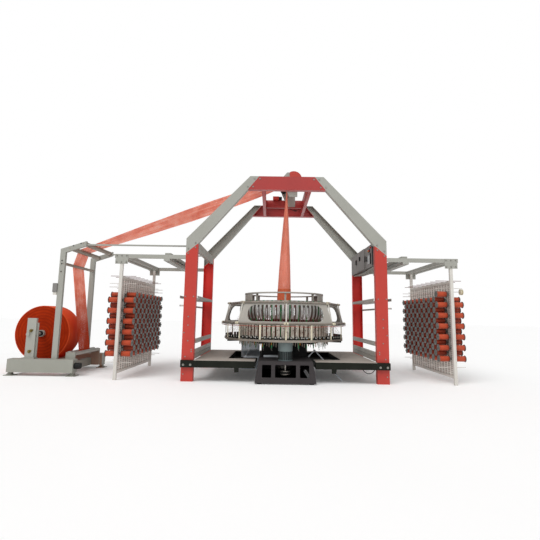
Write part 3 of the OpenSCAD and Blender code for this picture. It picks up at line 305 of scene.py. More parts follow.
class Effects:
    """Shader groups that several finishes share, each made once."""

    made: dict[str, Tree] = {}
    fine_speck_scale: float = 23.0
    dust_reach: float = 0.45
    wide_grain_share: float = 0.04
    brush_scale: Triple = (900.0, 6.0, 900.0)
    streak_scale: Triple = (46.0, 0.9, 1.0)
    patch_scale: float = 4.5
    weft_shift: float = 0.3
    bar_reach: float = 0.83
    bar_low: float = 0.145
    bar_top: float = 1.645

    @classmethod
    def group(
        cls,
        name: str,
        ins: dict[str, str],
        outs: dict[str, str],
        fill: Callable[[Bench, Sockets, Sockets], None],
    ) -> Tree:
        """Makes a group, or gives the one made before.

        Args:
            name: The group's name.
            ins: Names and socket kinds of its inputs.
            outs: Names and socket kinds of its outputs.
            fill: Makes the nodes between the inputs and the outputs.

        Returns:
            The group.
        """
        if name not in cls.made:
            tree = bpy.data.node_groups.new(name, "ShaderNodeTree")
            for key, kind in ins.items():
                tree.interface.new_socket(key, in_out="INPUT", socket_type="NodeSocket" + kind)
            for key, kind in outs.items():
                tree.interface.new_socket(key, in_out="OUTPUT", socket_type="NodeSocket" + kind)
            bench = Bench(tree)
            start, end = bench.node("NodeGroupInput"), bench.node("NodeGroupOutput")
            fill(bench, {k: start.outputs[k] for k in ins}, {k: end.inputs[k] for k in outs})
            cls.made[name] = tree
        return cls.made[name]

    @classmethod
    def mottle(cls) -> Tree:
        """Gives uneven colour in large clouds, fine specks and dust near the floor.

        Returns:
            The group.
        """

        def fill(bench: Bench, ins: Sockets, outs: Sockets) -> None:
            """Joins the group's nodes.

            Args:
                bench: Its nodes.
                ins: Its inputs.
                outs: Its outputs.
            """
            cloud = bench.cloud(ins["Vector"], ins["Scale"])
            fine = bench.cloud(ins["Vector"], bench.times(ins["Scale"], cls.fine_speck_scale), 2.0)
            soft = bench.spread(cloud, 0.35, 0.68, 0.0, 1.0)
            speck = bench.spread(fine, 0.6, 0.75, 0.0, 0.2)
            low = bench.spread(bench.split(ins["Vector"])[2], 0.0, cls.dust_reach, 0.45, 0.0)
            all_of_it = bench.math("ADD", bench.math("ADD", soft, speck), low)
            mask = bench.node("Clamp")
            bench.put(mask.inputs[0], bench.times(all_of_it, ins["Amount"]))
            bench.put(outs["Mask"], mask.outputs[0])
            bench.put(outs["Color"], bench.mix(mask.outputs[0], ins["Color"], ins["Shade"]))

        ins = {"Vector": "Vector", "Color": "Color", "Shade": "Color", "Scale": "Float", "Amount": "Float"}
        return cls.group("mottle", ins, {"Color": "Color", "Mask": "Float"}, fill)

    @classmethod
    def grain(cls) -> Tree:
        """Gives the fine skin of sprayed paint or moulded plastic, as a height.

        Returns:
            The group.
        """

        def fill(bench: Bench, ins: Sockets, outs: Sockets) -> None:
            """Joins the group's nodes.

            Args:
                bench: Its nodes.
                ins: Its inputs.
                outs: Its outputs.
            """
            fine = bench.cloud(ins["Vector"], ins["Scale"], 2.0)
            wide = bench.cloud(ins["Vector"], bench.times(ins["Scale"], cls.wide_grain_share), 3.0)
            bench.put(outs["Height"], bench.math("ADD", bench.times(fine, 0.3), wide))

        return cls.group("grain", {"Vector": "Vector", "Scale": "Float"}, {"Height": "Float"}, fill)

    @classmethod
    def brushing(cls) -> Tree:
        """Gives long fine lines left by grinding and polishing.

        Returns:
            The group.
        """

        def fill(bench: Bench, ins: Sockets, outs: Sockets) -> None:
            """Joins the lines to the group's input and its output."""
            bench.put(outs["Lines"], bench.cloud(bench.stretched(ins["Vector"], cls.brush_scale), 1.0, 3.0))

        return cls.group("brushing", {"Vector": "Vector"}, {"Lines": "Float"}, fill)

    @classmethod
    def netting(cls) -> Tree:
        """Gives an open weave of flat tapes: cover, height and streaks of close and open warp.

        Returns:
            The group.
        """

        def fill(bench: Bench, ins: Sockets, outs: Sockets) -> None:
            """Joins the group's nodes.

            Args:
                bench: Its nodes.
                ins: Its inputs.
                outs: Its outputs.
            """
            across, along, _ = bench.split(ins["Vector"])
            tapes = []
            for way, shift in ((across, 0.0), (along, cls.weft_shift)):
                turns = bench.math("DIVIDE", way, ins["Pitch"])
                wave = bench.math("PINGPONG", bench.math("ADD", turns, shift), 0.5)
                tapes.append(bench.times(wave, 2.0))
            streak = bench.cloud(bench.stretched(ins["Vector"], cls.streak_scale), 1.0, 3.0)
            patch = bench.cloud(ins["Vector"], cls.patch_scale, 2.0)
            streaky = bench.spread(streak, 0.3, 0.7, 0.0, 0.6)
            close = bench.math("ADD", streaky, bench.spread(patch, 0.35, 0.65, 0.0, 0.4))
            height = bench.math("MAXIMUM", *tapes)
            open_at = bench.math("SUBTRACT", ins["Open"], bench.times(close, 0.35))
            cover = bench.spread(height, open_at, bench.math("ADD", open_at, 0.25), 0.0, 1.0)
            bench.put(outs["Height"], height)
            bench.put(outs["Cover"], bench.spread(cover, 0.0, 1.0, 0.16, 0.97))
            bench.put(outs["Streak"], close)

        ins = {"Vector": "Vector", "Pitch": "Float", "Open": "Float"}
        return cls.group("netting", ins, {"Cover": "Float", "Height": "Float", "Streak": "Float"}, fill)

    @classmethod
    def punching(cls) -> Tree:
        """Gives rows of punched slots up a creel's bars, as a mask of painted shade that leaves the legs
        plain.

        Returns:
            The group.
        """

        def fill(bench: Bench, ins: Sockets, outs: Sockets) -> None:
            """Joins the group's nodes.

            Args:
                bench: Its nodes.
                ins: Its inputs.
                outs: Its outputs.
            """
            _, y, z = bench.split(ins["Vector"])
            row = bench.math("PINGPONG", bench.math("DIVIDE", z, ins["Pitch"]), 0.5)
            slot = bench.spread(row, 0.2, 0.3, 0.0, 1.0)
            inner = bench.math("LESS_THAN", bench.math("ABSOLUTE", y), cls.bar_reach)
            under = bench.math("LESS_THAN", z, cls.bar_top)
            over = bench.math("GREATER_THAN", z, cls.bar_low)
            # How dark the painted shade of each slot is varies with a noise.
            uneven = bench.spread(bench.cloud(ins["Vector"], 60.0, 2.0), 0.3, 0.6, 0.35, 1.0)
            bench.put(outs["Hole"], bench.times(slot, inner, under, over, uneven))

        return cls.group("punching", {"Vector": "Vector", "Pitch": "Float"}, {"Hole": "Float"}, fill)

    @classmethod
    def waves(cls, name: str, values: dict[str, float], **settings: str) -> Tree:
        """Gives wavy lines, as a height.

        Args:
            name: The group's name.
            values: Plain inputs of its wave.
            settings: Properties of its wave.

        Returns:
            The group.
        """

        def fill(bench: Bench, ins: Sockets, outs: Sockets) -> None:
            """Joins a wave to the group's inputs and its output."""
            bench.put(outs["Height"], bench.wave(ins["Vector"], ins["Scale"], values, **settings))

        return cls.group(name, {"Vector": "Vector", "Scale": "Float"}, {"Height": "Float"}, fill)

    @classmethod
    def winding(cls) -> Tree:
        """Gives close turns of wound yarn, as lines across one axis."""
        values = {"Distortion": 3.0, "Detail": 2.0}
        return cls.waves("winding", values, wave_type="BANDS", bands_direction="X")

    @classmethod
    def layers(cls) -> Tree:
        """Gives wavy rings of cloth edges on the ends of a wound roll."""
        values = {"Distortion": 4.5, "Detail": 3.0, "Detail Scale": 0.25}
        return cls.waves("layers", values, wave_type="RINGS", rings_direction="Y")


@dataclass(frozen=True)
class Coat:
    """What a finish works on: the material's nodes, its shader, Object coordinates and uneven colour."""

    bench: Bench
    shader: Node
    where: Socket
    color: Socket

    def paint(self, color: Socket) -> None:
        """Makes a colour the one that shows."""
        self.bench.put(self.shader.inputs["Base Color"], color)


@dataclass(frozen=True)
class Finish:
    """One finish of the machine and the values that its nodes take."""

    name: str
    kind: Kind
    color: str
    shade: str
    rough: float = 0.45
    metallic: float = 0.0
    scale: float = 2.2
    amount: float = 0.5
    bump: float = 0.08
    pitch: float = 0.006
    opening: float = 0.5
    centre: Triple = (0.0, 0.0, 0.0)
    gloss: float = 0.5
    glow: float = 0.0
    tint: str = ""
    deep: Spot = (0.0, 0.0)
    worn_rough: float = 0.22
    brushed_rough: float = 0.2
    bump_depth: float = 0.002
    grain_scale: float = 420.0
    inward: Spot = (-0.8, -0.4)
    wire_brown: str = "6E3F3A"
    wire_drop: Spot = (0.017, 0.019)
    wire_reach: Spot = (0.842, 0.845)
    fold_cover: float = 0.12
    yarn_sheen: float = 0.15

    def material(self) -> bpy.types.Material:
        """Makes the material once and gives it.

        Returns:
            The finish as a Blender material.
        """
        name = f"look_{self.name}"
        found = bpy.data.materials.get(name)
        if found:
            return found
        made = bpy.data.materials.new(name)
        made.use_nodes = True
        made.diffuse_color = linear(self.color)
        bench = Bench(made.node_tree)
        shader = made.node_tree.nodes["Principled BSDF"]
        shader.inputs["Metallic"].default_value = self.metallic
        shader.inputs["Specular IOR Level"].default_value = self.gloss
        # The glow is painted light on the nets, standing in for light through the thin cloth; on the floor
        # it keeps it evenly white.
        shader.inputs["Emission Color"].default_value = linear(self.color)
        shader.inputs["Emission Strength"].default_value = self.glow
        where = bench.node("TexCoord").outputs["Object"]
        colors = {"Color": linear(self.color), "Shade": linear(self.shade)}
        mottle = bench.effect(Effects.mottle(), where, **colors, Scale=self.scale, Amount=self.amount)
        uneven = min(1.0, self.rough + self.worn_rough)
        rough = bench.spread(mottle.outputs["Mask"], 0.0, 1.0, self.rough, uneven)
        bench.put(shader.inputs["Roughness"], rough)
        coat = Coat(bench, shader, where, mottle.outputs["Color"])
        coat.paint(coat.color)
        bump = bench.node("Bump")
        bump.inputs["Strength"].default_value = self.bump
        bump.inputs["Distance"].default_value = self.bump_depth
        bench.put(bump.inputs["Height"], self._relief(coat))
        bench.put(shader.inputs["Normal"], bump.outputs[0])
        return made

    def _relief(self, coat: Coat) -> Socket:
        """Adds what the kind of finish needs beside its colour.

        Args:
            coat: What it works on.

        Returns:
            The height that its bump takes.
        """
        ways = {
            Kind.STEEL: self._brushed,
            Kind.NET: self._netted,
            Kind.PUNCHED: self._slotted,
            Kind.YARN: self._wound,
            Kind.ROLL: self._layered,
        }
        return ways.get(self.kind, self._sprayed)(coat)

    def _sprayed(self, coat: Coat) -> Socket:
        """Adds the skin of paint or plastic and, where there is a tint, painted shade on inward-facing
        faces deep inside.

        Args:
            coat: What it works on.

        Returns:
            The height that its bump takes.
        """
        bench = coat.bench
        # The tint is painted shade: it falls on faces that face inward, far along Y.
        if self.tint:
            facing = bench.split(bench.node("TexCoord").outputs["Normal"])[1]
            inward = bench.spread(facing, *self.inward, 1.0, 0.0)
            inside = bench.spread(bench.split(coat.where)[1], *self.deep, 0.0, 1.0)
            coat.paint(bench.mix(bench.times(inside, inward), coat.color, linear(self.tint)))
        return bench.effect(Effects.grain(), coat.where, Scale=self.grain_scale).outputs["Height"]

    def _brushed(self, coat: Coat) -> Socket:
        """Adds the lines of brushed steel to the height and the roughness.

        Args:
            coat: What it works on.

        Returns:
            The height that its bump takes.
        """
        bench = coat.bench
        lines = bench.effect(Effects.brushing(), coat.where).outputs["Lines"]
        rough = bench.spread(lines, 0.3, 0.7, self.rough, self.rough + self.brushed_rough)
        bench.put(coat.shader.inputs["Roughness"], rough)
        return lines

    def _netted(self, coat: Coat) -> Socket:
        """Opens the cloth between its tapes and colours its streaks.

        Args:
            coat: What it works on.

        Returns:
            The height that its bump takes.
        """
        bench, shader = coat.bench, coat.shader
        flat = bench.node("TexCoord").outputs["UV"]
        net = bench.effect(Effects.netting(), flat, Pitch=self.pitch, Open=self.opening)
        cover = net.outputs["Cover"]
        streaks = bench.spread(net.outputs["Streak"], 0.25, 0.75, 0.0, self.amount)
        base = bench.mix(streaks, linear(self.color), linear(self.shade))
        if self.tint:
            folded = bench.spread(bench.split(flat)[1], *self.deep, 0.0, 1.0)
            base = bench.mix(folded, base, linear(self.tint))
            cover = bench.math("ADD", cover, bench.times(folded, self.fold_cover))
        bench.put(shader.inputs["Alpha"], cover)
        # The nets' glow takes their colour: painted light through the cloth.
        bench.put(shader.inputs["Emission Color"], base)
        coat.paint(base)
        return net.outputs["Height"]

    def _slotted(self, coat: Coat) -> Socket:
        """Paints shade into the slots of the creel's bars and colours the wires above them.

        Args:
            coat: What it works on.

        Returns:
            The height that its bump takes.
        """
        bench = coat.bench
        hole = bench.effect(Effects.punching(), coat.where, Pitch=self.pitch).outputs["Hole"]
        _, y, z = bench.split(coat.where)
        above = bench.spread(z, *self.deep, 0.0, 1.0)
        below = bench.spread(z, *(self.deep[1] + drop for drop in self.wire_drop), 1.0, 0.0)
        inside = bench.spread(bench.math("ABSOLUTE", y), *self.wire_reach, 1.0, 0.0)
        # The slots are painted shade on the bars, not cut through them.
        punched = bench.mix(hole, coat.color, linear(self.tint))
        coat.paint(bench.mix(bench.times(above, below, inside), punched, linear(self.wire_brown)))
        return hole

    def _wound(self, coat: Coat) -> Socket:
        """Adds the turns of yarn, with painted shade where packages stand close.

        Args:
            coat: What it works on.

        Returns:
            The height that its bump takes.
        """
        bench = coat.bench
        turns = bench.effect(Effects.winding(), coat.where, Scale=self.pitch).outputs["Height"]
        lit = bench.spread(turns, 0.0, 1.0, 0.0, 0.5)
        # Ambient occlusion paints shade into the yarn where packages stand close.
        near = bench.node("AmbientOcclusion", samples=4)
        near.inputs["Distance"].default_value = self.deep[1]
        yarn_shade = bench.spread(near.outputs["AO"], 0.3, 0.8, self.deep[0], 0.0)
        wound = bench.mix(lit, linear(self.shade), coat.color)
        coat.paint(bench.mix(yarn_shade, wound, linear(self.tint)))
        coat.shader.inputs["Sheen Weight"].default_value = self.yarn_sheen
        return turns

    def _layered(self, coat: Coat) -> Socket:
        """Adds rings of cloth edges to a roll's ends and another colour to its side.

        Args:
            coat: What it works on.

        Returns:
            The height that its bump takes.
        """
        bench = coat.bench
        moved = bench.node("Mapping")
        bench.put(moved.inputs["Vector"], coat.where)
        moved.inputs["Location"].default_value = [-c for c in self.centre]
        edges = bench.effect(Effects.layers(), moved.outputs[0], Scale=self.pitch).outputs["Height"]
        dark = bench.spread(edges, 0.0, 1.0, 0.55, 0.0)
        flat = bench.node("VectorMath", operation="MULTIPLY")
        bench.put(flat.inputs[0], moved.outputs[0])
        flat.inputs[1].default_value = (1.0, 0.0, 1.0)
        far = bench.node("VectorMath", operation="LENGTH")
        bench.put(far.inputs[0], flat.outputs[0])
        side = bench.spread(far.outputs["Value"], *self.deep, 0.0, 1.0)
        face = bench.mix(dark, coat.color, linear(self.shade))
        coat.paint(bench.mix(side, face, linear(self.tint)))
        return edges


class Finishes:
    """Every finish of the machine."""

    RED = Finish("red_paint", Kind.PAINT, "BE3A2E", "AC3026", 0.38, bump=0.03)
    # The top beams and take-up rails carry the posts' red paint; this darker, pinker copy is painted
    # reflection.
    TOP_RED_AS_LIT = Finish("top_red_as_lit_paint", Kind.PAINT, "AA3B38", "982F2C", 0.32, bump=0.03)
    # The back posts carry the front posts' red paint; this brighter copy is painted light against the shade
    # they stand in.
    SHADE_LIFTED_RED = Finish("shade_lifted_red_paint", Kind.PAINT, "EC3024", "CE261C", 0.42, bump=0.03)
    GREY = Finish("grey_paint", Kind.PAINT, "A2A29A", "97978E", 0.46, bump=0.03)
    # The brown tint on the inward faces of the winder's far base box is painted shade.
    SHADED_GREY = Finish(
        "base_grey_paint", Kind.PAINT, "9D9D94", "8E8E84", 0.46, bump=0.04, tint="A27F6B", deep=(0.2, 0.5)
    )
    PALE = Finish("pale_grey_paint", Kind.PAINT, "A9A59D", "948F86", 0.46, bump=0.04)
    # The tint is painted shade in the punched slots.
    PUNCHED = Finish(
        "punched_bars", Kind.PUNCHED, "D6D3CC", "BEB9B1", 0.5, bump=0.1, pitch=0.034,
        tint="A0938A", deep=(1.6905, 1.6925),
    )
    SCREEN = Finish(
        "panel_screen_paint", Kind.PAINT, "FFFCF6", "E6E2DA", 0.6, scale=34.0, amount=0.9, gloss=0.2
    )
    DECK = Finish(
        "deck_paint", Kind.PAINT, "A29A92", "B0A89F", 0.66, scale=3.5, amount=0.7, bump=0.1, gloss=0.25
    )
    BEAM = Finish("deck_beam_paint", Kind.PAINT, "191B16", "282A24", 0.6, scale=4.0, gloss=0.12)
    CHARCOAL = Finish("charcoal_paint", Kind.PAINT, "373334", "423E3F", 0.52, scale=3.0, gloss=0.2)
    MOTOR = Finish("motor_paint", Kind.PAINT, "5A6667", "4A5455", 0.42, scale=6.0, gloss=0.35)
    COWL = Finish(
        "motor_cowl_paint", Kind.PAINT, "6E7A7A", "5E6969", 0.4, scale=6.0, amount=0.4, gloss=0.4
    )
    CABINET = Finish("cabinet_paint", Kind.PAINT, "83817E", "767471", 0.42, scale=3.0, gloss=0.3)
    PIT_WHITE = Finish(
        "pit_white_sheet", Kind.PAINT, "F2F9FF", "DCE6EC", 0.4, scale=5.0, amount=0.3, gloss=0.3
    )
    # A dark sheet that stands in for the shade behind the slats.
    SKIRT_SHADE = Finish(
        "skirt_shade_sheet", Kind.PAINT, "4A372B", "6A5444", 0.6, scale=9.0, amount=0.8, gloss=0.15
    )
    IRON = Finish(
        "black_iron", Kind.PAINT, "1C1D1E", "2C2B29", 0.6, scale=7.0, amount=0.6, bump=0.1, gloss=0.15
    )
    STEEL = Finish(
        "bright_steel", Kind.STEEL, "B4AFA7", "8A857E", 0.28, 0.9, scale=5.0, amount=0.6, bump=0.03
    )
    DULL_STEEL = Finish(
        "dull_steel", Kind.STEEL, "9C948A", "776F67", 0.42, 0.7, scale=4.0, amount=0.7, bump=0.04
    )
    BROWN_STEEL = Finish(
        "worn_steel", Kind.STEEL, "A69C90", "857A6F", 0.45, 0.6, scale=4.0, amount=0.7, bump=0.04
    )
    BOLT = Finish("zinc_bolts", Kind.STEEL, "A5A39C", "7E7B74", 0.34, 0.8, scale=30.0, bump=0.03)
    BRASS = Finish("brass_bolts", Kind.STEEL, "8F7D45", "5F532C", 0.34, 0.8, scale=30.0, bump=0.03)
    BLACK = Finish("black_plastic", Kind.PLASTIC, "121212", "242424", 0.45, scale=12.0, gloss=0.2)
    WHITE = Finish("white_plastic", Kind.PLASTIC, "D8D5CC", "B4B0A5", 0.4, scale=9.0)
    LEVER = Finish("clear_lever_plastic", Kind.PLASTIC, "C4C4C0", "8C8B88", 0.3, scale=9.0, amount=0.8)
    SLAT = Finish("slat_plastic", Kind.PLASTIC, "DEDACC", "AEA596", 0.5, scale=11.0, amount=0.9)
    CREAM = Finish("cream_cord", Kind.PLASTIC, "DCD5BE", "C0B598", 0.75, scale=20.0, amount=0.6, bump=0.3)
    GREEN = Finish("green_heald_plastic", Kind.PLASTIC, "17804A", "0F5C34", 0.35, scale=10.0)
    GREY_PLASTIC = Finish(
        "grey_bobbin_plastic", Kind.PLASTIC, "6F716D", "4E504D", 0.4, scale=14.0, amount=0.6
    )
    RUBBER = Finish(
        "black_rubber", Kind.RUBBER, "1C1B1A", "34322F", 0.75, scale=9.0, amount=0.6, bump=0.2, gloss=0.2
    )
    # The glow on the three net finishes is painted light through the thin cloth.
    NET = Finish(
        "net_cloth", Kind.NET, "E98D77", "CE6A50", 0.65, bump=0.2, opening=0.34, gloss=0.15, glow=0.1
    )
    WEB = Finish(
        "net_web", Kind.NET, "FF9A7E", "E05A38", 0.65, amount=0.8, bump=0.2, opening=0.26, gloss=0.15,
        glow=0.17, tint="A83008", deep=(4.9, 5.7),
    )
    CUFF = Finish(
        "close_net_cloth", Kind.NET, "D8704E", "B54C2B", 0.65, bump=0.2, opening=0.16, gloss=0.15, glow=0.06
    )
    # The dark tint is painted shade where packages stand close; deep gives its share and its reach.
    YARN = Finish(
        "wound_yarn", Kind.YARN, "E06636", "A8340E", 0.42, scale=6.0, amount=0.4, bump=0.4, pitch=70.0,
        gloss=0.35, tint="560A06", deep=(0.75, 0.1),
    )
    ROLL = Finish(
        "wound_net", Kind.ROLL, "AA2E00", "801A00", 0.65, scale=5.0, bump=0.3, pitch=6.0,
        centre=ROLL_AXIS, gloss=0.1, tint="D8552C", deep=(0.482, 0.492),
    )
    # The warp tapes are the packages' yarn; their darker red is painted shade of the loom's interior.
    SHADED_WARP = Finish("warp_tape", Kind.PLASTIC, "8E2A18", "5C160C", 0.5, scale=25.0, amount=0.6, gloss=0.3)
    WIRE_RED = Finish(
        "stop_wire_red", Kind.PLASTIC, "A8584C", "7E382F", 0.45, scale=20.0, amount=0.8, gloss=0.3
    )
    STOP = Finish(
        "stop_red_plastic", Kind.PLASTIC, "D01F1A", "A81410", 0.25, scale=20.0, amount=0.4, bump=0.02
    )
    AMBER_DULL = Finish(
        "strap_amber", Kind.PLASTIC, "9A6A20", "6E4A18", 0.5, scale=20.0, amount=0.8, gloss=0.3
    )
    AMBER = Finish(
        "amber_plastic", Kind.PLASTIC, "E0A020", "B87A10", 0.25, scale=20.0, amount=0.4, bump=0.02
    )
    GLASS = Finish(
        "screen_glass", Kind.PLASTIC, "B4B8B8", "A4AAAA", 0.12, scale=8.0, amount=0.4, bump=0.01
    )
    FLOOR = Finish(
        "studio_floor", Kind.FLOOR, "FFFFFF", "FBFBFA", 0.9, scale=0.5, amount=0.3, bump=0.0, glow=0.06
    )


FINISHED_NODES: dict[Finish, tuple[str, ...]] = {
    Finishes.RED: ("front_posts", "takeup_cover", "takeup_drive"),
    Finishes.TOP_RED_AS_LIT: ("top_beams", "takeup_rails"),
    Finishes.SHADE_LIFTED_RED: ("back_posts",),
    Finishes.GREY: (
        "front_arms", "back_arms", "knee_tie", "takeup_plates", "creel_beams", "winder_frame",
        "roll_stands", "winding_shaft",
    ),
    Finishes.SHADED_GREY: ("winder_base",),
    Finishes.PUNCHED: ("creel_frames",),
    Finishes.PALE: ("guard_plates", "top_ring", "yarn_guides"),
    Finishes.DULL_STEEL: ("guard_rails", "guide_shelf", "lower_warp_ring"),
    Finishes.CREAM: ("ring_posts",),
    Finishes.STEEL: (
        "reed_ring", "fabric_former", "main_shaft", "motor_pulley", "feed_roller", "press_roller",
        "shuttles",
    ),
    Finishes.BROWN_STEEL: ("winder_roller_a", "winder_roller_b", "winder_roller_c"),
    Finishes.DECK: ("deck_plates",),
    Finishes.BEAM: ("deck_beams",),
    Finishes.CHARCOAL: ("loom_base",),
    Finishes.MOTOR: ("main_motor",),
    Finishes.IRON: ("centre_column", "bed_plate", "bed_columns", "ring_arms", "shuttle_carrier"),
    Finishes.BLACK: ("guide_blocks", "winder_motor"),
    Finishes.RUBBER: ("drive_belt", "nip_roller_a", "nip_roller_b"),
    Finishes.WHITE: ("rail_struts",),
    Finishes.GREEN: ("heald_set_a", "heald_set_b"),
    Finishes.GREY_PLASTIC: ("spindles",),
    Finishes.CABINET: ("control_cabinet", "cabinet_door_back", "cabinet_door_mid", "winder_control_box"),
    Finishes.STOP: ("stop_button",),
    Finishes.NET: ("fabric_tube", "fabric_web", "fabric_roll", "yarn_packages"),
}


def turned_to(place: Point, axis: Point) -> Matrix:
    """Gives the matrix that stands a shape on a place.

    Args:
        place: Where its origin goes.
        axis: Where its Z axis points.

    Returns:
        The matrix.
    """
    return Matrix.Translation(place) @ Vector(axis).to_track_quat("Z", "Y").to_matrix().to_4x4()


def around(radius: float, degrees: float, z: float) -> Vector:
    """Gives a point round the loom's axis."""
    turn = math.radians(degrees)
    return Vector((radius * math.cos(turn), radius * math.sin(turn), z))


class Work:
    """A piece in the making: shapes are added to one mesh, which then rides on a body."""

    washer_share: float = 0.35
    washer_r_share: float = 1.55
    head_share: float = 1.1
    head_tip_share: float = 0.94

    def __init__(self, name: str) -> None:
        """Starts an empty piece under its name."""
        self.name = name
        self.mesh = bmesh.new()

    def _bevel(self, points: Iterable[bmesh.types.BMVert], size: float) -> None:
        """Rounds the edges between some points.

        Args:
            points: The points.
            size: How far the rounding reaches.
        """
        edges = list({e for v in points for e in v.link_edges})
        bmesh.ops.bevel(
            self.mesh, geom=edges, offset=size, affect="EDGES", segments=2, profile=0.5, material=-1
        )

    def box(self, low: Point, high: Point, edge: float = 0.0) -> Work:
        """Adds a box between two corners.

        Args:
            low: Its low corner.
            high: Its high corner.
            edge: Radius of its edges, or zero for sharp ones.

        Returns:
            The piece itself.
        """
        a, b = Vector(low), Vector(high)
        return self.block(Matrix.Translation((a + b) / 2), b - a, edge)

    def block(self, place: Matrix, size: Point, edge: float = 0.0) -> Work:
        """Adds a box about a turned place.

        Args:
            place: Its middle and its turn.
            size: Its three sizes.
            edge: Radius of its edges, or zero for sharp ones.

        Returns:
            The piece itself.
        """
        scaled = place @ Matrix.Diagonal((*size, 1.0))
        points = bmesh.ops.create_cube(self.mesh, size=1.0, matrix=scaled)["verts"]
        if edge > 0:
            self._bevel(points, edge)
        return self

    def rod(self, a: Point, b: Point, radius: float, sides: int = 8, tip: float | None = None) -> Work:
        """Adds a round bar between two points.

        Args:
            a: Its start.
            b: Its end.
            radius: Its radius.
            sides: How many flat sides it has.
            tip: Radius of its end, where that is another one.

        Returns:
            The piece itself.
        """
        start, end = Vector(a), Vector(b)
        bmesh.ops.create_cone(
            self.mesh,
            cap_ends=True,
            segments=sides,
            radius1=radius,
            radius2=radius if tip is None else tip,
            depth=(end - start).length,
            matrix=turned_to((start + end) / 2, end - start),
        )
        return self

    def bolt(self, place: Point, axis: Point, radius: float) -> Work:
        """Adds a hexagon bolt head on its washer.

        Args:
            place: Where its washer sits.
            axis: Where the bolt points.
            radius: Radius of the head.

        Returns:
            The piece itself.
        """
        seat, out = Vector(place), Vector(axis).normalized()
        washer = seat + out * (radius * self.washer_share)
        end = seat + out * (radius * self.washer_share + radius * self.head_share)
        self.rod(seat, washer, radius * self.washer_r_share, 12)
        return self.rod(washer, end, radius, 6, radius * self.head_tip_share)

    def stamp(self, pattern: bpy.types.Mesh, places: Iterable[Matrix]) -> Work:
        """Adds copies of a mesh.

        Args:
            pattern: The mesh.
            places: Where each copy goes.

        Returns:
            The piece itself.
        """
        for place in places:
            count = len(self.mesh.verts)
            self.mesh.from_mesh(pattern)
            self.mesh.verts.ensure_lookup_table()
            bmesh.ops.transform(self.mesh, matrix=place, verts=self.mesh.verts[count:])
        return self

    def turned(self, profile: Sequence[Spot], place: Matrix, steps: int) -> Work:
        """Adds a lathe shape.

        Args:
            profile: Radius and height of each point, from one end to the other.
            place: Where the shape's own Z axis stands.
            steps: How many steps it takes to go round.

        Returns:
            The piece itself.
        """
        return self.stamp(lathe(profile, steps), [place])

    def hoop(self, inner: float, outer: float, low: float, high: float) -> Work:
        """Adds an upright hoop round the loom's axis.

        Args:
            inner: Its inner radius.
            outer: Its outer radius.
            low: Its lower edge.
            high: Its upper edge.

        Returns:
            The piece itself.
        """
        profile = [(inner, low), (outer, low), (outer, high), (inner, high), (inner, low)]
        return self.turned(profile, Matrix.Identity(4), 64)

    def tube(self, path: Sequence[Point], radius: float, sides: int = 6, closed: bool = False) -> Work:
        """Adds a tube along a path.

        Args:
            path: Points of its middle line.
            radius: Its radius.
            sides: How many flat sides it has.
            closed: Whether the last point runs on into the first.

        Returns:
            The piece itself.
        """
        points = [Vector(p) for p in path]
        rings = []
        for i, here in enumerate(points):
            before = points[i - 1] if i or closed else here
            after = points[(i + 1) % len(points)] if i + 1 < len(points) or closed else here
            made = bmesh.ops.create_circle(
                self.mesh,
                cap_ends=not closed and i in (0, len(points) - 1),
                segments=sides,
                radius=radius,
                matrix=turned_to(here, after - before),
            )["verts"]
            rings.append(list({e for v in made for e in v.link_edges}))
        if closed:
            rings.append(rings[0])
        for first, second in zip(rings, rings[1:]):
            bmesh.ops.bridge_loops(self.mesh, edges=first + second)
        return self

    def ring(self, centre: Point, axis: Point, radius: float, wire: float, steps: int, sides: int) -> Work:
        """Adds a round ring of wire.

        Args:
            centre: Its middle.
            axis: The line that it goes round.
            radius: Radius of its middle line.
            wire: Radius of the wire.
            steps: How many steps it takes to go round.
            sides: How many flat sides the wire has.

        Returns:
            The piece itself.
        """
        place = turned_to(centre, axis)
        path = [place @ around(radius, 360 * i / steps, 0.0) for i in range(steps)]
        return self.tube(path, wire, sides, closed=True)

    def strip(self, path: Sequence[Point], across: Sequence[Point], width: float) -> Work:
        """Adds a flat tape along a path.

        Args:
            path: Points of its middle line.
            across: Direction of its width at each point.
            width: Its width.

        Returns:
            The piece itself.
        """
        edges = []
        for here, side in zip(path, across):
            half = Vector(side).normalized() * (width / 2)
            ends = [self.mesh.verts.new(Vector(here) + half * k) for k in SIDES]
            edges.append(self.mesh.edges.new(ends))
        for first, second in zip(edges, edges[1:]):
            bmesh.ops.bridge_loops(self.mesh, edges=[first, second])
        return self

    def plate(self, outline: Sequence[Point], push: Point) -> Work:
        """Adds a plate from a flat outline that is pushed to its thickness.

        Args:
            outline: Corners of one face.
            push: From that face to the other one.

        Returns:
            The piece itself.
        """
        points = [self.mesh.verts.new(p) for p in outline]
        face = self.mesh.faces.new(points)
        top = bmesh.ops.extrude_face_region(self.mesh, geom=[face], use_keep_orig=True)["geom"]
        moved = [v for v in top if isinstance(v, bmesh.types.BMVert)]
        bmesh.ops.translate(self.mesh, verts=moved, vec=push)
        return self

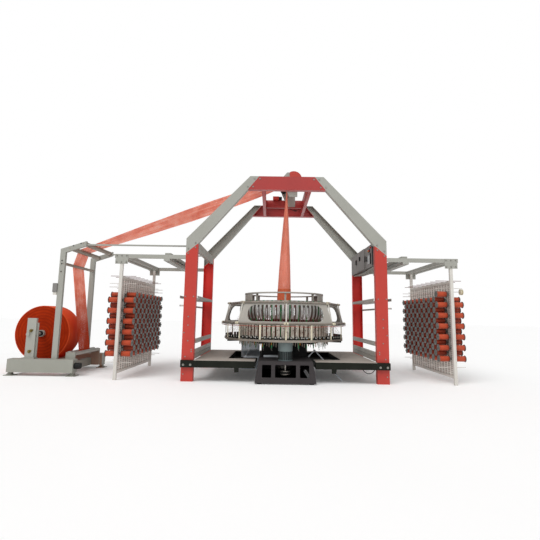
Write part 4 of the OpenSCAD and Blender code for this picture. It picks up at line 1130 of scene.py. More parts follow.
    def done(
        self, finish: Finish, body: str = FRAME_BODY, slot: str | None = None, smooth: float = 40.0
    ) -> bpy.types.Object:
        """Turns the shapes into one piece that rides on a body.

        Args:
            finish: The finish of its surface.
            body: The CAD body that it rides on.
            slot: The record's material slot; not used.
            smooth: Edges flatter than this angle, in degrees, are shaded smooth.

        Returns:
            The piece.
        """
        closed = [f for f in self.mesh.faces if all(len(e.link_faces) == 2 for e in f.edges)]
        bmesh.ops.recalc_face_normals(self.mesh, faces=closed)
        data = bpy.data.meshes.new(self.name)
        self.mesh.to_mesh(data)
        self.mesh.free()
        data.shade_smooth()
        data.set_sharp_from_angle(angle=math.radians(smooth))
        data.materials.append(finish.material())
        piece = bpy.data.objects.new(self.name, data)
        bpy.context.scene.collection.objects.link(piece)
        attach(piece, body)
        LOG.info("%s: %d faces on %s", self.name, len(data.polygons), body)
        return piece


def lathe(profile: Sequence[Spot], steps: int) -> bpy.types.Mesh:
    """Spins a profile round its Z axis.

    Args:
        profile: Radius and height of each point.
        steps: How many steps it takes to go round.

    Returns:
        The spun mesh.
    """
    shape = bmesh.new()
    points = [shape.verts.new((r, 0.0, h)) for r, h in profile]
    edges = [shape.edges.new(pair) for pair in zip(points, points[1:])]
    around_z = {"cent": (0, 0, 0), "axis": (0, 0, 1), "angle": TURN, "steps": steps}
    bmesh.ops.spin(shape, geom=points + edges, use_merge=True, **around_z)
    bmesh.ops.remove_doubles(shape, verts=shape.verts, dist=LATHE_MERGE)
    bmesh.ops.recalc_face_normals(shape, faces=shape.faces)
    data = bpy.data.meshes.new("lathe")
    shape.to_mesh(data)
    shape.free()
    return data


def cloth_grid(
    name: str,
    squares: tuple[int, int],
    place: Callable[[float, float], Vector],
    size: Spot,
    seam: bool = False,
) -> Work:
    """Makes a cloth surface from a flat grid, with a map of its flat cut in metres.

    Args:
        name: The piece's name.
        squares: How many squares it has across and along.
        place: Gives the place of a point from its shares across and along.
        size: Width and length of the flat cut, in metres.
        seam: Whether the two long edges are joined into a tube.

    Returns:
        The piece in the making.
    """
    work = Work(name)
    bmesh.ops.create_grid(work.mesh, x_segments=squares[0], y_segments=squares[1], size=0.5)
    layer = work.mesh.loops.layers.uv.new("flat_cut")
    for face in work.mesh.faces:
        for loop in face.loops:
            flat = loop.vert.co
            loop[layer].uv = ((flat.x + 0.5) * size[0], (flat.y + 0.5) * size[1])
    for point in work.mesh.verts:
        point.co = place(point.co.x + 0.5, point.co.y + 0.5)
    if seam:
        bmesh.ops.remove_doubles(work.mesh, verts=work.mesh.verts, dist=SEAM_MERGE)
    return work


@dataclass
class Studio:
    """Camera of the photograph, pale floor and soft light."""

    eye: Triple = (-0.2541, -6.9567, 1.0522)
    pitch: float = 7.2398
    roll: float = 0.8761
    yaw: float = -0.1365
    focal_px: float = 367.19
    image_px: float = 540.0
    sensor: float = 36.0
    far: float = 500.0
    floor_size: float = 120.0
    floor_drop: float = 0.001
    cove_light: float = 0.46
    cove_seen: float = 1.0
    lamps: tuple[tuple[str, float, float, Triple], ...] = (
        ("key_lamp", 1.5, 38.0, (38.0, 0.0, -32.0)),
        ("fill_lamp", 0.6, 60.0, (52.0, 0.0, 42.0)),
    )

    def build(self) -> None:
        """Makes the camera, the floor, the sky and the lamps."""
        self._camera()
        self._floor()
        self._sky()
        for lamp in self.lamps:
            self._lamp(*lamp)

    def _camera(self) -> None:
        """Sets the camera up as the photograph was taken."""
        pitch, roll, yaw = (math.radians(a) for a in (self.pitch, self.roll, self.yaw))
        ahead = Vector((math.sin(yaw), math.cos(yaw), 0.0))
        right = Vector((math.cos(yaw), -math.sin(yaw), 0.0))
        up = Vector((0.0, 0.0, 1.0))
        look = ahead * math.cos(pitch) + up * math.sin(pitch)
        top = up * math.cos(pitch) - ahead * math.sin(pitch)
        side = right * math.cos(roll) + top * math.sin(roll)
        crown = top * math.cos(roll) - right * math.sin(roll)
        data = bpy.data.cameras.new("photo_camera")
        data.sensor_width = self.sensor
        data.lens = self.focal_px / self.image_px * self.sensor
        data.clip_end = self.far
        camera = bpy.data.objects.new("photo_camera", data)
        turned = Matrix((side, crown, -look)).transposed().to_4x4()
        camera.matrix_world = Matrix.Translation(self.eye) @ turned
        bpy.context.scene.collection.objects.link(camera)
        bpy.context.scene.camera = camera

    def _floor(self) -> None:
        """Lays the pale floor."""
        shape = bmesh.new()
        lowered = Matrix.Translation((0, 0, -self.floor_drop))
        bmesh.ops.create_grid(shape, x_segments=1, y_segments=1, size=self.floor_size / 2, matrix=lowered)
        data = bpy.data.meshes.new("floor")
        shape.to_mesh(data)
        shape.free()
        data.materials.append(Finishes.FLOOR.material())
        floor = bpy.data.objects.new("floor", data)
        bpy.context.scene.collection.objects.link(floor)

    def _sky(self) -> None:
        """Lights the studio evenly from a white cove."""
        world = bpy.data.worlds.new("studio")
        world.use_nodes = True
        bench = Bench(world.node_tree)
        back = world.node_tree.nodes["Background"]
        seen = bench.node("LightPath").outputs["Is Camera Ray"]
        bench.put(back.inputs["Strength"], bench.spread(seen, 0.0, 1.0, self.cove_light, self.cove_seen))
        back.inputs["Color"].default_value = linear("FFFFFF")
        bpy.context.scene.world = world
        bpy.context.scene.view_settings.view_transform = "Standard"

    def _lamp(self, name: str, power: float, softness: float, turn: Triple) -> None:
        """Adds a soft distant lamp.

        Args:
            name: Its name.
            power: Its strength.
            softness: How wide it looks, in degrees.
            turn: Its three angles, in degrees.
        """
        data = bpy.data.lights.new(name, "SUN")
        data.energy = power
        data.angle = math.radians(softness)
        lamp = bpy.data.objects.new(name, data)
        lamp.rotation_euler = [math.radians(a) for a in turn]
        bpy.context.scene.collection.objects.link(lamp)


@dataclass
class Gantry:
    """Posts, arms and top beams: their bolts and small fittings."""

    half_width: float = cad_end("front_posts", Axis.X)
    post_in: float = 1.487
    face_y: float = cad_end("back_posts", Axis.Y)
    inner_y: float = cad_end("takeup_rails", Axis.Y)
    top_z: float = cad_end("top_beams", Axis.Z)
    low_z: float = cad_end("top_beams", Axis.Z, high=False)
    top_half: float = 0.477
    low_half: float = cad_end("top_beams", Axis.X)
    splice_out_z: float = 2.089
    splice_in_z: float = cad_end("front_posts", Axis.Z)
    splice_shares: Spot = (0.2, 0.8)
    splice_steps: Spot = (-0.035, 0.045)
    corner_steps: Spot = (-0.05, 0.04)
    splice_bolt_r: float = 0.009
    post_bolt_r: float = 0.007
    post_bolts: tuple[Spot, ...] = (
        (1.659, 1.364), (1.525, 1.364), (1.597, 1.034), (1.597, 0.896), (1.656, 0.774),
        (1.590, 0.645), (1.525, 0.504), (1.525, 0.472), (1.623, 0.392), (1.646, 0.116),
    )
    beam_face_y: float = cad_end("deck_beams", Axis.Y)
    beam_bolts_x: Spot = (1.635, 1.52)
    beam_bolt_z: float = 0.27
    beam_bolt_r: float = 0.012
    cable_start: Triple = (1.243, -0.93, 0.2285)
    cable_span: float = 0.187
    cable_sag: float = 0.058
    cable_round: float = 0.8
    cable_r: float = 0.006
    cable_steps: int = 20
    junction_box: Slab = ((-0.83, 0.66, 0.0), (-0.46, 0.73, 0.6), 0.006)
    junction_shelf: Slab = ((-0.81, 0.5, 0.37), (-0.47, 0.661, 0.4), 0.003)
    pit_stays: tuple[Slab, ...] = (
        ((-0.72, -0.22, 0.315), (-0.44, -0.18, 0.345), 0.003),
        ((-0.36, -0.47, 0.3575), (-0.1, -0.42, 0.39), 0.004),
    )
    pit_pipes: tuple[Bar, ...] = (
        ((-0.66, 0.5, 0.385), (-0.68, -0.2, 0.335), 0.014, 10),
        ((0.43, -0.3, 0.352), (0.565, -0.15, 0.465), 0.011, 8),
        ((0.555, -0.15, 0.465), (0.955, -0.67, 0.016), 0.011, 8),
    )
    stub_start: Triple = (1.70, -0.77, 1.215)
    stub_end_x: float = 1.765
    stub_r: float = 0.013
    stub_cap_r: float = 0.015
    stub_cap_t: float = 0.008
    motor_at: Spot = (0.0, -0.9)
    motor_r: float = 0.118
    motor_rib_count: int = 24
    cowl_play: float = 0.001
    cowl_hole_r: float = 0.1
    cowl_low: float = 0.506
    cowl_shoulder: float = 0.636
    cowl_top: float = 0.645
    cowl_round: float = 0.008
    groove_z: float = 0.435
    groove_sink: float = 0.002
    groove_size: Triple = (0.011, 0.12, 0.004)
    rail_in: float = 0.37
    rail_out: float = cad_end("takeup_rails", Axis.X)
    rail_edge: float = 0.003
    cross_play: float = 0.0003
    cross_edge: float = 0.002
    back_cross: tuple[Spot, Spot] = ((0.33, 3.26), (0.37, 3.42))
    front_cross: tuple[Spot, Spot] = ((-0.37, 3.408), (-0.33, 3.446))
    drive_motor: Bar = ((-0.111, 0.35, 3.46), (-0.048, 0.35, 3.46), 0.041, 20)
    lead_path: tuple[Triple, ...] = (
        (0.02, 0.3, 3.36), (0.08, 0.34, 3.28), (0.16, 0.39, 3.235), (0.22, 0.42, 3.23),
    )
    lead_r: float = 0.005
    lead_plug: Bar = ((0.2, 0.42, 3.232), (0.26, 0.42, 3.228), 0.012, 8)

    def build(self) -> None:
        """Makes the bolts of the frame, the pit's pieces and the take-up's small parts."""
        self._bolts()
        self._pit()
        self._motor()
        self._rod_ends()
        self._take_up()

    def cable(self) -> None:
        """Hangs the short cable under the right front beam."""
        x, y, z = self.cable_start
        path = []
        for i in range(self.cable_steps + 1):
            t = i / self.cable_steps
            sag = self.cable_sag * math.sin(math.pi * t) ** self.cable_round
            path.append(Vector((x + self.cable_span * t, y, z - sag)))
        work = Work("hanging_cable").tube(path, self.cable_r, 8)
        cable = work.done(Finishes.RUBBER, slot="black_plastic")

    def _pit(self) -> None:
        """Puts the white junction box, pipes and stays into the open pit beside the base."""
        work = Work("pit_box")
        work.box(*self.junction_box)
        work.box(*self.junction_shelf)
        work.done(Finishes.PIT_WHITE, slot="white_plastic")
        work = Work("pit_pipes")
        for stay in self.pit_stays:
            work.box(*stay)
        for pipe in self.pit_pipes:
            work.rod(*pipe)
        work.done(Finishes.PIT_WHITE, slot="white_plastic")

    def _rod_ends(self) -> None:
        """Puts white stubs with dark caps on the yarn guide rods outside the front posts."""
        stubs, caps = Work("guide_rod_stubs"), Work("guide_rod_caps")
        x, y, z = self.stub_start
        for side in SIDES:
            end = Vector((side * self.stub_end_x, y, z))
            stubs.rod((side * x, y, z), end, self.stub_r, 12)
            caps.rod(end, end + Vector((side * self.stub_cap_t, 0, 0)), self.stub_cap_r, 12)
        stubs.done(Finishes.WHITE, slot="white_plastic")
        caps.done(Finishes.BLACK, slot="black_plastic")

    def _motor(self) -> None:
        """Gives the upright motor its fan cowl, and dark iron strips of painted shade in the grooves
        between its cooling ribs.
        """
        x, y = self.motor_at
        out = self.motor_r - self.cowl_play
        profile = [
            (self.cowl_hole_r, self.cowl_low),
            (out, self.cowl_low),
            (out, self.cowl_shoulder),
            (out - self.cowl_round, self.cowl_top),
            (self.cowl_hole_r, self.cowl_top),
        ]
        work = Work("motor_cowl").turned(profile, Matrix.Translation((x, y, 0.0)), 48)
        work.done(Finishes.COWL, slot="motor_paint")
        # Dark strips stand in for the shade in the grooves between the ribs.
        work = Work("motor_groove_shade")
        for k in range(self.motor_rib_count):
            turn = TURN * (k + 0.5) / self.motor_rib_count
            out_way = Vector((math.cos(turn), math.sin(turn), 0.0))
            middle = Vector((x, y, self.groove_z)) + out_way * (self.motor_r - self.groove_sink)
            work.block(turned_to(middle, out_way), self.groove_size)
        work.done(Finishes.IRON, slot="motor_paint")

    def _take_up(self) -> None:
        """Dresses the take-up: its carrying frame, black motor and thin leads."""
        work = Work("take_up_frame")
        for side in SIDES:
            near, far = sorted((side * self.rail_in, side * self.rail_out))
            work.box((near, -self.inner_y, self.low_z), (far, self.inner_y, self.top_z), self.rail_edge)
        half = self.rail_in - self.cross_play
        for low, high in (self.back_cross, self.front_cross):
            work.box((-half, *low), (half, *high), self.cross_edge)
        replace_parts(work.done(Finishes.TOP_RED_AS_LIT, slot="red_paint"), "takeup_rails")
        Work("take_up_motor").rod(*self.drive_motor).done(Finishes.BLACK, slot="black_plastic")
        leads = Work("take_up_leads").tube(self.lead_path, self.lead_r, 6).rod(*self.lead_plug)
        leads.done(Finishes.BLACK, slot="black_plastic")

    def _bolts(self) -> None:
        """Puts bolts on the posts, at the splices and at the ends of the top beams."""
        work = Work("gantry_bolts")
        for face in SIDES:
            out = (0.0, float(face), 0.0)
            y = self.face_y * face
            for side in SIDES:
                for x, z in self.post_bolts:
                    work.bolt((x * side, y, z), out, self.post_bolt_r)
                for share in self.splice_shares:
                    x = self.half_width + (self.post_in - self.half_width) * share
                    z = self.splice_out_z + (self.splice_in_z - self.splice_out_z) * share
                    for step in self.splice_steps:
                        work.bolt((x * side, y, z + step), out, self.splice_bolt_r)
                    x = self.low_half + (self.top_half - self.low_half) * share
                    z = self.low_z + (self.top_z - self.low_z) * share
                    for step in self.corner_steps:
                        work.bolt(((x + step) * side, y, z), out, self.splice_bolt_r)
                for x in self.beam_bolts_x:
                    work.bolt((x * side, self.beam_face_y * face, self.beam_bolt_z), out, self.beam_bolt_r)
        work.done(Finishes.BOLT, slot="steel")


@dataclass
class LoomHead:
    """Rings, rails, healds and warp of the loom."""

    corners: int = 8
    mid_r: float = 1.14
    mid_z: float = 0.942
    upper_r: float = 1.02
    upper_z: float = 1.29
    rail_r: float = 0.016
    wrap_turns: int = 3
    wrap_first: float = 0.006
    wrap_pitch: float = 0.011
    wrap_rise: float = 0.003
    wrap_r: float = 0.006
    cap_out: float = 0.012
    cap_back: float = 0.004
    cap_length: float = 0.03
    cap_rise: float = 0.002
    plate_gap: float = 0.024
    plate_t: float = 0.003
    plate_play: float = 0.0003
    window_share: float = 0.78
    window_side_share: float = 0.15
    window_round_share: float = 0.42
    window_steps: int = 8
    slat_r: float = 0.815
    slat_count: int = 64
    slat_widths: Spot = (0.047, 0.054)
    slat_low: float = 0.70
    slat_top: float = 0.915
    slat_drop: float = 0.012
    slat_t: float = 0.003
    slat_eye_side: float = 0.012
    slat_eye_gap: float = 0.002
    slat_eye_z: float = 0.80
    slat_eye_step: float = 0.03
    slat_eye_t: float = 0.006
    slat_eye_r: float = 0.007
    spring_ring: Hoop = (0.80, 0.83, 0.69, 0.699)
    spring_low: float = 0.588
    spring_step: float = 0.018
    spring_r: float = 0.0055
    strap_w: float = 0.02
    casing_half: float = 0.4
    casing_t: float = 0.006
    casing_low: float = 0.3585
    casing_top: float = 0.5885
    shade_hoop: Hoop = (0.742, 0.745, 0.7, 0.89)
    pit_shade_in: float = 0.492
    pit_shade_out: float = 0.948
    pit_shade_half_y: float = 0.88
    pit_shade_low: float = 0.2295
    pit_shade_top: float = 0.2335
    base_tray: Slab = ((-0.4, -1.02, 0.0215), (0.4, 0.56, 0.026), 0.0)
    stop_wire_out: float = 0.02
    stop_wire_z: float = 0.899
    stop_wire_sag: float = 0.006
    stop_wire_r: float = 0.005
    stop_wire_steps: int = 6
    heald_r: float = 0.7715
    heald_low: float = cad_end("heald_set_a", Axis.Z, high=False)
    heald_count: int = 32
    hook_top: float = 0.004
    hook_low: float = 0.028
    hook_ring_drop: float = 0.012
    hook_ring_r: float = 0.009
    hook_ring_wire: float = 0.0022
    hook_stem_drop: float = 0.02
    hook_stem_r: float = 0.003
    hook_bend_side: float = 0.008
    hook_bend_drop: float = 0.012
    hook_tip_side: float = 0.014
    hook_wire: float = 0.0025
    lever_first: float = 2.8
    lever_gap: float = 0.012
    lever_bow: float = 0.04
    lever_round: float = 0.8
    lever_top: float = 1.32
    lever_length: float = 0.3
    lever_w: float = 0.038
    lever_steps: int = 9
    lever_rib_rise: float = 0.004
    lever_rib_w: float = 0.012
    reed_r: float = 0.67
    former_r: float = FORMER_R
    former_z: float = 1.302
    ring_side_r: float = 1.0573
    block_top: float = cad_end("guide_blocks", Axis.Z)
    warp_count: int = 384
    warp_w: float = 0.002
    warp_shed: float = 0.03
    warp_gap: float = 0.01
    warp_over_block: float = 0.005
    warp_rest: Spot = (0.95, 0.935)
    warp_heald_z: float = 1.10
    warp_reed_z: float = 1.13
    warp_fell: Spot = (0.4, 1.21)
    warp_over_former: float = 0.004
    block_count: int = 16
    block_eyes: int = 4
    block_r: float = 1.1
    eyelet_out: float = 0.013
    eyelet_z: float = 0.72
    eyelet_r: float = 0.009
    eyelet_wire: float = 0.003

    def build(self) -> None:
        """Makes the wrappings, caps, stop wire, slats, hooks, levers and warp."""
        self._wraps()
        self._caps()
        self._plates()
        self._slats()
        self._springs()
        self._casing()
        self._stop_wire()
        self._hooks()
        self._levers()
        self._warp()
        self._eyes()

    def _wraps(self) -> None:
        """Wraps cord round the rails at each corner."""
        work = Work("rail_wraps")
        half = math.degrees(math.pi / self.corners)
        for i in range(self.corners):
            turn = 360 * i / self.corners
            for radius, z in ((self.mid_r, self.mid_z), (self.upper_r, self.upper_z)):
                here = around(radius, turn, z)
                for step in SIDES:
                    along = around(1.0, turn + step * (90 + half), 0.0)
                    for k in range(self.wrap_turns):
                        spot = here + along * (self.wrap_first + self.wrap_pitch * k)
                        work.ring(spot, along, self.rail_r + self.wrap_rise, self.wrap_r, 12, 5)
        work.done(Finishes.CREAM, slot="white_plastic")

    def _caps(self) -> None:
        """Closes the upper rail's tube ends, which stand out at each corner, with dark caps."""
        work = Work("rail_caps")
        for i in range(self.corners):
            turn = 360 * i / self.corners
            here = around(self.upper_r + self.cap_out, turn, self.upper_z)
            for step in SIDES:
                along = around(1.0, turn + step * (90 - 180 / self.corners), 0.0)
                ends = (here - along * self.cap_back, here + along * self.cap_length)
                work.rod(*ends, self.rail_r + self.cap_rise, 10)
        work.done(Finishes.BROWN_STEEL, slot="steel")

    def _plate_outline(self, slant: float) -> list[Spot]:
        """Gives a sloped plate's flat outline, with its window open to one side.

        Args:
            slant: Height of the plate along its slope.

        Returns:
            Place across and up the slope of each corner.
        """
        half = math.pi / self.corners
        low, top = (r * math.sin(half) - self.plate_gap for r in (self.mid_r, self.upper_r))
        sill, head = slant * (1 - self.window_share) / 2, slant * (1 + self.window_share) / 2
        inner = (low + top) / 2 * (1 - 2 * self.window_side_share)
        round_r = self.window_round_share * (head - sill)
        outline = [(-low, 0.0), (low, 0.0), (low + (top - low) * sill / slant, sill)]
        for middle, first in ((sill + round_r, -90), (head - round_r, 180)):
            for step in range(self.window_steps + 1):
                turn = math.radians(first - step * 90 / self.window_steps)
                across = -inner + round_r + round_r * math.cos(turn)
                outline.append((across, middle + round_r * math.sin(turn)))
        return outline + [(low + (top - low) * head / slant, head), (top, slant), (-top, slant)]

    def _plates(self) -> None:
        """Makes the sloped plates between the rails, windows open towards the front and the back."""
        work = Work("window_plates")
        half = math.pi / self.corners
        run, rise = (self.mid_r - self.upper_r) * math.cos(half), self.upper_z - self.mid_z
        foot = Matrix.Translation((self.mid_r * math.cos(half), 0, self.mid_z))
        lean = Matrix.Rotation(-math.atan2(run, rise), 4, "Y")
        outline = self._plate_outline(math.hypot(run, rise))
        inside = -self.rail_r - self.plate_play - self.plate_t
        for i in range(self.corners):
            near = 1 if i % 4 < 2 else -1
            place = Matrix.Rotation(TURN * (i + 0.5) / self.corners, 4, "Z") @ foot @ lean
            flat = [place @ Vector((inside, near * u, v)) for u, v in outline]
            work.plate(flat, place.to_3x3() @ Vector((self.plate_t, 0, 0)))
        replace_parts(work.done(Finishes.PALE, slot="light_grey_paint"), "guard_plates")

    def _slats(self) -> None:
        """Hangs the pale yarn tensioner slats and their dark eyes between the straps inside the skirt."""
        work, eyes = Work("tensioner_slats"), Work("tensioner_eyes")
        for k in range(self.slat_count):
            turn = 360 * (k + 0.5) / self.slat_count
            out = around(1.0, turn, 0.0)
            wide = self.slat_widths[1 if k % 3 else 0]
            top = self.slat_top - self.slat_drop * (k % 4 == 1)
            place = turned_to(around(self.slat_r, turn, (self.slat_low + top) / 2), out)
            work.block(place, (wide, top - self.slat_low, self.slat_t))
            side = around(1.0, turn + 90, 0.0) * (self.slat_eye_side if k % 2 else -self.slat_eye_side)
            z = self.slat_eye_z + self.slat_eye_step * (k % 3)
            eye = around(self.slat_r + self.slat_eye_gap, turn, z) + side
            eyes.rod(eye, eye + out * self.slat_eye_t, self.slat_eye_r, 8)
        work.done(Finishes.SLAT, slot="white_plastic")
        eyes.done(Finishes.BLACK, slot="black_plastic")

    def _springs(self) -> None:
        """Hangs a ring of return springs and strap ends below the skirt."""
        Work("spring_ring").hoop(*self.spring_ring).done(Finishes.IRON, slot="black_iron")
        brown, straps = Work("return_springs"), Work("strap_ends")
        count = 2 * self.slat_count
        for k in range(count):
            turn = 360 * (k + 0.25) / count
            high = around(self.slat_r, turn, self.spring_ring[2])
            low = around(self.slat_r, turn, self.spring_low - self.spring_step * (k % 3))
            if k % 4 == 2:
                straps.strip([high, low], [around(1.0, turn + 90, 0.0)] * 2, self.strap_w)
            else:
                brown.rod(high, low, self.spring_r, 6)
        brown.done(Finishes.BROWN_STEEL, slot="steel")
        straps.done(Finishes.AMBER_DULL, slot="yarn_orange")

    def _casing(self) -> None:
        """Closes the bed with black sheet, hangs a dark hoop of painted shade inside the skirt, lays dark
        slabs of painted shade in the pit and a dark slab on the floor under the base.
        """
        work = Work("bed_casing")
        out, inside = self.casing_half, self.casing_half - self.casing_t
        low, top = self.casing_low, self.casing_top
        for side in SIDES:
            near, far = sorted((side * inside, side * out))
            work.box((near, -out, low), (far, out, top))
            work.box((-inside, near, low), (inside, far, top))
        work.done(Finishes.IRON, slot="black_iron")
        # The hoop is painted shade: a dark sheet behind the slats.
        Work("skirt_shade_hoop").hoop(*self.shade_hoop).done(Finishes.SKIRT_SHADE, slot="black_iron")
        # Dark slabs in the pit are painted shade; one more dark slab lies on the floor under the base.
        work = Work("pit_shade_slabs")
        for side in SIDES:
            near, far = sorted((side * self.pit_shade_in, side * self.pit_shade_out))
            work.box((near, -self.pit_shade_half_y, self.pit_shade_low), (far, self.pit_shade_half_y, self.pit_shade_top))
        work.box(*self.base_tray)
        work.done(Finishes.BEAM, slot="black_iron")

    def _stop_wire(self) -> None:
        """Runs the red stop wire under the middle rail."""
        steps = self.corners * self.stop_wire_steps
        sector = 360 / self.corners
        flat_r = (self.mid_r + self.stop_wire_out) * math.cos(math.pi / self.corners)
        path = []
        for i in range(steps):
            turn = 360 * i / steps
            inside = math.radians((turn % sector) - sector / 2)
            z = self.stop_wire_z - self.stop_wire_sag * math.cos(self.corners * inside)
            path.append(around(flat_r / math.cos(inside), turn, z))
        work = Work("stop_wire").tube(path, self.stop_wire_r, 6, closed=True)
        work.done(Finishes.WIRE_RED, slot="red_paint")

    def _hooks(self) -> None:
        """Hangs steel hooks and springs below the healds."""
        up = Vector((0.0, 0.0, 1.0))
        for letter, first in (("a", 0), ("b", 1)):
            work = Work(f"heald_hooks_{letter}")
            for k in range(first, self.heald_count, 2):
                turn = 360 * (k + 0.5) / self.heald_count
                top = around(self.heald_r, turn, self.heald_low + self.hook_top)
                low = around(self.heald_r, turn, self.heald_low - self.hook_low)
                out, side = around(1.0, turn, 0.0), around(1.0, turn + 90, 0.0)
                work.ring(top - up * self.hook_ring_drop, out, self.hook_ring_r, self.hook_ring_wire, 10, 5)
                work.rod(top - up * self.hook_stem_drop, low, self.hook_stem_r, 6)
                bend = low - up * self.hook_bend_drop + side * self.hook_bend_side
                work.tube([low, bend, low + side * self.hook_tip_side], self.hook_wire, 5)
            work.done(Finishes.STEEL, f"heald_{letter}", "steel")

    def _levers(self) -> None:
        """Sets white bowed heald levers between the straps."""
        work = Work("heald_levers")
        count = 2 * self.heald_count
        for k in range(count):
            turn = self.lever_first + 360 / count * k
            path = []
            for i in range(self.lever_steps + 1):
                t = i / self.lever_steps
                bow = self.lever_bow * math.sin(math.pi * t) ** self.lever_round
                z = self.lever_top - self.lever_length * t
                path.append(around(self.heald_r + self.lever_gap + bow, turn, z))
            sides = [around(1.0, turn + 90, 0.0)] * len(path)
            work.strip(path, sides, self.lever_w)
            work.strip([p + around(self.lever_rib_rise, turn, 0.0) for p in path], sides, self.lever_rib_w)
        work.done(Finishes.LEVER, slot="white_plastic")

    def _warp(self) -> None:
        """Runs the warp tapes from the guide blocks through the healds and the reed to the former."""
        work = Work("warp_tapes")
        for k in range(self.warp_count):
            turn = 360 * (k + 0.5) / self.warp_count
            lift = self.warp_shed if k % 2 else -self.warp_shed
            spots = (
                (self.ring_side_r, self.block_top + self.warp_over_block),
                self.warp_rest,
                (self.heald_r + self.warp_gap, self.warp_heald_z + lift),
                (self.reed_r + self.warp_gap, self.warp_reed_z + lift),
                self.warp_fell,
                (self.former_r + self.warp_over_former, self.former_z),
            )
            path = [around(radius, turn, z) for radius, z in spots]
            work.strip(path, [around(1.0, turn + 90, 0.0)] * len(path), self.warp_w)
        work.done(Finishes.SHADED_WARP, slot="yarn_orange")

    def _eyes(self) -> None:
        """Sets a pale eyelet on each guide block."""
        work = Work("guide_eyes")
        pitch = 2 * self.block_r * math.sin(math.pi / self.block_count) / (self.block_eyes + 1)
        for k in range(self.block_count):
            turn = 360 * (k + 0.5) / self.block_count
            out, side = around(1.0, turn, 0.0), around(1.0, turn + 90, 0.0)
            for i in range(self.block_eyes):
                along = (i - (self.block_eyes - 1) / 2) * pitch
                here = out * (self.ring_side_r + self.eyelet_out) + side * along
                here.z = self.eyelet_z
                work.ring(here, out, self.eyelet_r, self.eyelet_wire, 10, 5)
        work.done(Finishes.WHITE, slot="white_plastic")


